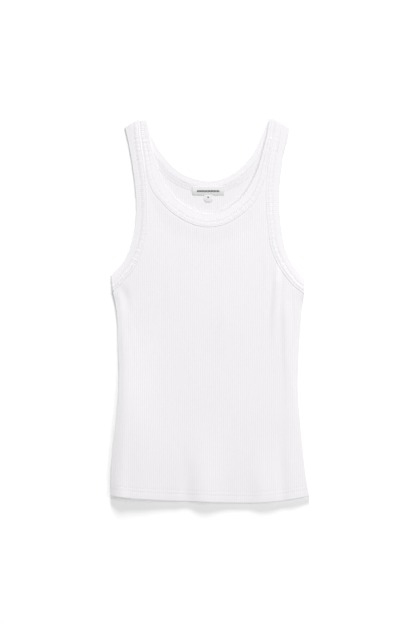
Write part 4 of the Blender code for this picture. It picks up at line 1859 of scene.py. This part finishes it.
@dataclass
class Tape:
    """A flat piece of woven tape with rounded edges, which bows a little off the cloth.

    Attributes:
        name, node: The piece's name and the solid that it stands for.
        outline: Its outline, counter-clockwise.
        base: How high it lies.
        wall: How thick it is.
        bow, droop: How far its middle stands off its ends, and how far its lower edge hangs down.
        rings, nose_steps: How finely its face follows the bow, and how finely its edge is rounded.
    """

    name: str
    node: str
    outline: Array
    base: float
    wall: float
    bow: float
    droop: float
    rings: int = 10
    nose_steps: int = 5

    def surface(self, x: Array, y: Array) -> Array:
        """Return the height of its upper face, which dips to its ends and its lower edge.

        Args:
            x: The places.
            y: The places.

        Returns:
            One height for each place.
        """
        centre = (self.outline.min(axis=0) + self.outline.max(axis=0)) / 2
        half = (self.outline.max(axis=0) - self.outline.min(axis=0)) / 2
        u, v = (x - centre[0]) / half[0], (y - centre[1]) / half[1]
        wave = 0.5 + 0.5 * np.cos(np.clip(u, -1.0, 1.0) * math.pi)
        dip = self.droop * smooth_step(-v)
        return self.base + self.wall - self.bow * (1.0 - wave) - dip

    def shell(self) -> Shell:
        """Return the tape's closed wall."""
        centre = (self.outline.min(axis=0) + self.outline.max(axis=0)) / 2
        count = len(self.outline)
        nose = self.wall / 2
        shares = np.linspace(1.0, 0.0, self.rings, endpoint=False)
        towards = centre - self.outline
        inner = self.outline + towards / np.linalg.norm(towards, axis=1)[:, None] * nose
        rings = []
        for share in shares[::-1]:
            flat = centre + (inner - centre) * share
            rings.append(np.column_stack([flat, self.surface(flat[:, 0], flat[:, 1])]))
        edge = self.surface(inner[:, 0], inner[:, 1])
        for k in range(1, self.nose_steps):
            angle = math.pi * k / self.nose_steps
            flat = inner + (self.outline - inner) * math.sin(angle)
            rings.append(np.column_stack([flat, edge - nose + nose * math.cos(angle)]))
        for share in shares:
            flat = centre + (inner - centre) * share
            low = self.surface(flat[:, 0], flat[:, 1]) - self.wall
            rings.append(np.column_stack([flat, low]))
        points = np.vstack([*rings, self.pole(centre, 0.0), self.pole(centre, self.wall)])
        faces = ring_faces(len(rings), count)
        top, low = len(points) - 2, len(points) - 1
        last = (len(rings) - 1) * count
        for i in range(count):
            j = (i + 1) % count
            faces.append((top, i, j))
            faces.append((low, last + j, last + i))
        shell = Shell(points, faces)
        shell.face_outwards()
        return shell

    def pole(self, centre: Array, down: float) -> Array:
        """Return the point at the middle of a face."""
        height = float(self.surface(centre[:1], centre[1:])[0]) - down
        return np.array([[centre[0], centre[1], height]])

    def build(self, material: Material) -> Piece:
        """Build the tape's piece."""
        piece = self.shell().to_object(self.name)
        piece.data.materials.append(material)
        return piece


def label_outline(step: float = 1.2) -> Array:
    """Return the main label's outline, counter-clockwise.

    Args:
        step: How far apart its points lie.

    Returns:
        The outline's points.
    """
    half = np.array(LABEL_SIZE) / 2
    corners = np.array([(-1, -1), (1, -1), (1, 1), (-1, 1)]) * half + LABEL_CENTRE
    sides = []
    for a, b in zip(corners, np.roll(corners, -1, axis=0)):
        count = round(float(np.linalg.norm(b - a)) / step)
        sides.append(a + (b - a) * (np.arange(count) / count)[:, None])
    return np.vstack(sides)


def tab_outline(steps: int = 8) -> Array:
    """Return the size tab's outline: square above, with two round corners below.

    Args:
        steps: How finely a corner is rounded.

    Returns:
        The outline's points.
    """
    half = TAB_SIZE[0] / 2
    low = TAB_TOP - TAB_SIZE[1]
    places = []
    for side, start in ((-1, math.pi), (1, 1.5 * math.pi)):
        for k in range(steps + 1):
            angle = start + k * math.pi / 2 / steps
            x = LABEL_CENTRE[0] + side * (half - TAB_CORNER) + TAB_CORNER * math.cos(angle)
            places.append((x, low + TAB_CORNER + TAB_CORNER * math.sin(angle)))
    for share in np.linspace(0.0, 1.0, steps):
        places.append((LABEL_CENTRE[0] + half * (1.0 - 2.0 * share), TAB_TOP))
    return np.array(places)


@dataclass
class WovenMarks:
    """A plain row of dark diamonds and blocks on the label, and one diamond on the tab.

    Attributes:
        name: The piece's name.
        label: The tape under the row.
        tab: The tape under the single mark.
        count, row_width: How many marks the row has, and how long it is.
        row_rise: How far above the label's middle it lies.
        diamond, block, tab_diamond: The width and height of each kind of mark.
        diamond_fullness, block_fullness, tab_fullness: How far their corners reach.
        tab_place: How far the single mark lies under the tab's top.
        thickness: How far the yarn stands up.
        layers: The share of its outline, and of its thickness, that each ring of a mark has.
    """

    SIDES = 8

    name: str
    label: Tape
    tab: Tape
    count: int = 15
    row_width: float = 33.2
    row_rise: float = -0.6
    diamond: tuple[float, float] = (2.4, 3.6)
    block: tuple[float, float] = (1.9, 3.3)
    tab_diamond: tuple[float, float] = (2.6, 2.8)
    diamond_fullness: float = 0.72
    block_fullness: float = 1.35
    tab_fullness: float = 0.8
    tab_place: float = 3.4
    thickness: float = 0.1
    layers: Sequence[tuple[float, float]] = ((0.55, 1.0), (0.95, 0.6), (1.0, -0.4))

    def mark(
        self, tape: Tape, x: float, y: float, size: tuple[float, float], fullness: float
    ) -> Shell:
        """Return one raised mark on a tape.

        Args:
            tape: The tape.
            x: The mark's middle.
            y: The mark's middle.
            size: Its width and height.
            fullness: How far its corners reach: under 1 for a diamond, over 1 for a block.

        Returns:
            The mark's closed wall.
        """
        sides = np.arange(self.SIDES)
        turns = sides * math.pi / 4
        reach = np.where(sides % 2 == 0, 1.0, fullness)[:, None]
        outer = np.stack([np.cos(turns), np.sin(turns)], axis=1) * reach * np.array(size) / 2
        rings = []
        for share, rise in self.layers:
            flat = outer * share + [x, y]
            height = tape.surface(flat[:, 0], flat[:, 1]) + rise * self.thickness
            rings.append(np.column_stack([flat, height]))
        last = (len(rings) - 1) * self.SIDES
        faces = [tuple(range(self.SIDES)), tuple(reversed(range(last, last + self.SIDES)))]
        return Shell(np.vstack(rings), faces + ring_faces(len(rings), self.SIDES))

    def build(self, material: Material) -> Piece:
        """Build every mark as one piece.

        Args:
            material: The yarn.

        Returns:
            The piece.
        """
        shells = []
        kinds = ((self.diamond, self.diamond_fullness), (self.block, self.block_fullness))
        middle = LABEL_CENTRE[0]
        for k in range(self.count):
            x = middle + self.row_width * (k / (self.count - 1) - 0.5)
            shells.append(self.mark(self.label, x, LABEL_CENTRE[1] + self.row_rise, *kinds[k % 2]))
        tab_y = TAB_TOP - self.tab_place
        shells.append(self.mark(self.tab, middle, tab_y, self.tab_diamond, self.tab_fullness))
        points, faces = [], []
        for shell in shells:
            shell.face_outwards()
            start = sum(len(part) for part in points)
            points.append(shell.points)
            faces += [tuple(start + v for v in face) for face in shell.faces]
        piece = Shell(np.vstack(points), faces).to_object(self.name)
        piece.data.materials.append(material)
        return piece


# ---------------------------------------------------------------- studio


class Lamp(NamedTuple):
    """A soft round lamp: how much light it gives the surface, and where it stands."""

    name: str
    share: float
    distance: float
    azimuth: float
    elevation: float
    size: float

    def place(self) -> None:
        """Stand the lamp so that it faces the garment's middle."""
        azimuth, elevation = math.radians(self.azimuth), math.radians(self.elevation)
        x, y = math.cos(azimuth), math.sin(azimuth)
        level = math.cos(elevation)
        towards = Vector((x * level, y * level, math.sin(elevation)))
        data = bpy.data.lights.new(self.name, "AREA")
        data.shape = "DISK"
        data.size = self.size
        # A disk of power P lights a matt floor with P sin(elevation) / (pi distance)^2.
        data.energy = self.share * (math.pi * self.distance) ** 2 / math.sin(elevation)
        turn = towards.to_track_quat("Z", "Y").to_matrix().to_4x4()
        in_scene(self.name, data).matrix_world = (
            Matrix.Translation(towards * self.distance) @ turn
        )


@dataclass(frozen=True)
class Studio:
    """A plain pale surface, soft light all round and three soft lamps, in metres.

    The key lamp stands low beyond the shoulders, a weaker one on the right and a faint one beyond
    the hem.

    Attributes:
        view_height: How high the camera is over the cloth.
        view_long_side: How much of the surface the picture's long side shows.
        view_centre: Where the camera looks.
        cloth_height: The height of cloth that the view is measured at.
        sensor: The camera's sensor, in millimetres.
        floor_size, floor_drop: How long the surface is, and how far under the cloth it lies.
        fill, lamps: How strong the light all round is, and the lamps.
    """

    view_height: float = 3.0
    view_long_side: float = 0.9722
    view_centre: tuple[float, float] = (-0.0020, -0.0017)
    cloth_height: float = 0.004
    sensor: float = 36.0
    floor_size: float = 8.0
    floor_drop: float = 0.0002
    fill: float = 0.335
    lamps: Sequence[Lamp] = (
        Lamp("key", 0.44, 4.6, 88.0, 20.0, 1.6),
        Lamp("side", 0.21, 3.5, 6.0, 38.0, 1.8),
        Lamp("front", 0.15, 3.5, 270.0, 50.0, 1.8),
    )

    def floor(self) -> None:
        """Lay the surface just under the cloth."""
        half = self.floor_size / 2
        corners = [(-half, -half), (half, -half), (half, half), (-half, half)]
        mesh = bpy.data.meshes.new("pale_surface")
        mesh.from_pydata([(x, y, -self.floor_drop) for x, y in corners], [], [(0, 1, 2, 3)])
        mesh.materials.append(PaleSurface().material())
        floor = in_scene("pale_surface", mesh)

    def camera(self) -> None:
        """Hang the camera straight above, with the shoulders up."""
        data = bpy.data.cameras.new("camera")
        data.sensor_width = self.sensor
        data.lens = self.sensor * self.view_height / self.view_long_side
        data.clip_end = 100.0
        camera = in_scene("camera", data)
        camera.location = (*self.view_centre, self.view_height + self.cloth_height)
        bpy.context.scene.camera = camera

    def lights(self) -> None:
        """Set the fill all round and the lamps."""
        world = bpy.data.worlds.new("studio")
        world.use_nodes = True
        backdrop = world.node_tree.nodes["Background"]
        backdrop.inputs["Color"].default_value = (1.0, 1.0, 1.0, 1.0)
        backdrop.inputs["Strength"].default_value = self.fill
        bpy.context.scene.world = world
        for lamp in self.lamps:
            lamp.place()
        bpy.context.scene.view_settings.view_transform = "Standard"

    def build(self) -> None:
        """Build the whole studio."""
        self.camera()
        self.lights()
        self.floor()


# ---------------------------------------------------------------- the garment


@dataclass
class TankTop:
    """The whole garment, dressed piece by piece."""

    lines: GarmentLines = field(default_factory=GarmentLines.drawn)
    ribs: RibTree = field(default_factory=RibTree)
    stitches: StitchTree = field(default_factory=StitchTree)

    # The hem's stitches: how far out they run, how far from the sides they stop, how deep they lie
    # in the front and how high they lie on the back.
    HEM_SPAN = (-153.0, 153.1)
    HEM_STOP = 1.5
    FRONT_SINK = 0.05
    BACK_HEIGHT = 0.24
    # How many points of a lap a band's row of stitches leaves out at each end.
    LAP_ENDS = 4
    # The label's end stitches: how far in they lie, and how much of its height they run along.
    END_INSET = 1.6
    END_RUN = 0.42

    def __post_init__(self) -> None:
        """Make the drape and the finishes that the pieces share."""
        self.drape = Drape(self.lines)
        self.knit = RibCotton("rib_knit_cotton", Follows.OBJECT).material()
        # The back's inside, seen through the neck, and the bands get darker copies of the knit:
        # painted shade.
        inner, band = (0.780, 0.765, 0.788, 1.0), (0.800, 0.785, 0.808, 1.0)
        self.inside_knit_painted_shade = RibCotton("rib_knit_inside_painted_shade", Follows.OBJECT, inner).material()
        self.band_knit = RibCotton("rib_band_cotton", Follows.CHART, band).material()
        self.thread = SewingThread("sewing_thread").material()
        pale, grey = (0.80, 0.79, 0.80, 1.0), (0.70, 0.69, 0.70, 1.0)
        self.tape = WovenSatin("label_tape", pale, grey).material()
        black, jet = (0.035, 0.035, 0.04, 1.0), (0.012, 0.012, 0.014, 1.0)
        self.dark = WovenSatin("dark_yarn", black, jet).material()

    def settle(
        self, piece: Piece, slot: str, node: Optional[str] = None
    ) -> Piece:
        """Give a finished piece its body, hide the solid that it stands for and log its slot.

        Args:
            piece: The piece.
            slot: The record's slot that it takes its finish from.
            node: The solid that it replaces, if any.

        Returns:
            The same piece.
        """
        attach(piece, BODY)
        if node:
            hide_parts(node)
        triangles = sum(len(face.vertices) - 2 for face in piece.data.polygons)
        LOG.info("%s: %d triangles, slot %s", piece.name, triangles, slot)
        return piece

    def panel_wall(self, x: Array, y: Array) -> Array:
        """Return a panel's wall: double where the hem is turned up."""
        return np.where(y - self.lines.hem_y(x) < HEM_DEPTH, HEM_WALL, PANEL_WALL)

    def back_panel(self) -> None:
        """Build the back, whose outer ribs rest on the table."""
        panel = Panel(
            name="back_cloth",
            node="back_panel",
            lines=self.lines,
            neck=self.lines.back_neck,
            upper=lambda x, y: self.panel_wall(x, y) - RIB_RELIEF * 0.5,
            lower=lambda x, y: RIB_RELIEF * 0.75 + 0 * x,
            upper_ribs=0.8,
            lower_ribs=0.6,
            seam_ditch=0.0,
            row_step=10.0,
            strap_row_step=6.0,
        )
        piece = self.settle(panel.build(self.ribs, self.inside_knit_painted_shade), "rib_knit", panel.node)

    def front_panel(self) -> None:
        """Build the front, draped over the back."""
        panel = Panel(
            name="front_cloth",
            node="front_panel",
            lines=self.lines,
            neck=self.lines.front_neck,
            upper=self.drape.panel_height,
            lower=lambda x, y: self.drape.panel_height(x, y) - self.panel_wall(x, y),
            upper_ribs=1.0,
            lower_ribs=0.0,
            neck_lift=0.48,
            arm_lift=0.4,
        )
        piece = self.settle(panel.build(self.ribs, self.knit), "rib_knit", panel.node)

    def hem_stitches(self) -> None:
        """Lay the hem's twin-needle stitches on the front and the back."""
        fronts, backs = [], []
        for needle in HEM_NEEDLES:
            x = np.arange(*self.HEM_SPAN, 1.0)
            y = self.lines.hem_y(x) + needle
            kept = self.lines.side_distance(x, y) > self.HEM_STOP
            x, y = x[kept], y[kept]
            front = self.drape.panel_height(x, y) - self.FRONT_SINK
            fronts.append(np.stack([x, y, front], axis=1))
            backs.append(np.stack([x, y, 0 * x + self.BACK_HEIGHT], axis=1))
        for name, paths, seed in (("front", fronts, 2), ("back", backs, 3)):
            seam = Seam(f"hem_stitches_{name}", paths, seed=seed)
            self.settle(seam.build(self.stitches, self.thread), "rib_knit")

    def bands(self) -> None:
        """Build the three bands with their stitches."""
        rows = (
            ("armhole_band_left", ARM_LEFT, ARM_LEFT, -1.0, 1.0),
            ("armhole_band_right", ARM_RIGHT, ARM_RIGHT, 1.0, -1.0),
            ("neck_band", NECK_BACK, NECK_FRONT, -1.0, 1.0),
        )
        for seed, (node, back, front, start_side, end_side) in enumerate(rows, start=11):
            section = NECK_SECTION if node == "neck_band" else ARM_SECTION
            folds = (start_side, end_side)
            band = Band(f"{node}_cloth", node, self.drape, back, front, *folds, section)
            piece = self.settle(band.build(self.ribs, self.band_knit), "rib_band", node)
            kept = slice(self.LAP_ENDS, -self.LAP_ENDS)
            runs = [(line, lap) for line in (0, 1) for lap in (BACK_RUN, FRONT_RUN)]
            paths = [band.needle_line(line, False, (lap,))[kept] for line, lap in runs]
            seam = Seam(f"{node}_stitches", paths, height=0.22, seed=seed)
            sewn = self.settle(seam.build(self.stitches, self.thread), "rib_band")
            around = travelled(band.needle_line(0, False, ALL_RUNS))[-1] * MM
            if node == "neck_band":
                inner = [band.needle_line(line, True, (BACK_RUN,)) for line in (0, 1)]
                sizes = {"spacing": 2.2, "length": 2.1, "width": 0.6, "height": 0.2}
                inside = Seam(f"{node}_inner_stitches", inner, **sizes, seed=5)
                self.settle(inside.build(self.stitches, self.thread), "rib_band")

    def labels(self) -> None:
        """Build the label, the tab, their marks and the stitches that hold them."""
        label = Tape("main_label_tape", "main_label", label_outline(), 2.15, 0.4, 0.12, 0.75)
        tab = Tape("size_tab_tape", "size_tab", tab_outline(), 1.5, 0.6, 0.15, 0.3)
        main = self.settle(label.build(self.tape), "woven_label", label.node)
        small = self.settle(tab.build(self.tape), "woven_label", tab.node)
        marks = self.settle(WovenMarks("label_marks", label, tab).build(self.dark), "woven_label")
        ends = []
        for side in (-1, 1):
            run = np.linspace(-self.END_RUN, self.END_RUN, 12)
            x = 0 * run + (LABEL_CENTRE[0] + side * (LABEL_SIZE[0] / 2 - self.END_INSET))
            y = LABEL_CENTRE[1] + run * LABEL_SIZE[1]
            ends.append(np.stack([x, y, label.surface(x, y)], axis=1))
        sizes = {"spacing": 1.9, "length": 1.6, "width": 0.32, "height": 0.24}
        seam = Seam("label_stitches", ends, **sizes, seed=8)
        held = self.settle(seam.build(self.stitches, self.thread), "woven_label")

    def build(self) -> None:
        """Dress the whole garment."""
        self.back_panel()
        self.front_panel()
        self.bands()
        self.hem_stitches()
        self.labels()


def main() -> None:
    """Build the studio and the garment."""
    logging.basicConfig(level=logging.INFO, format="%(name)s: %(message)s")
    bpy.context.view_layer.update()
    Studio().build()
    TankTop().build()
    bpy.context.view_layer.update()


if __name__ == "__main__":
    main()
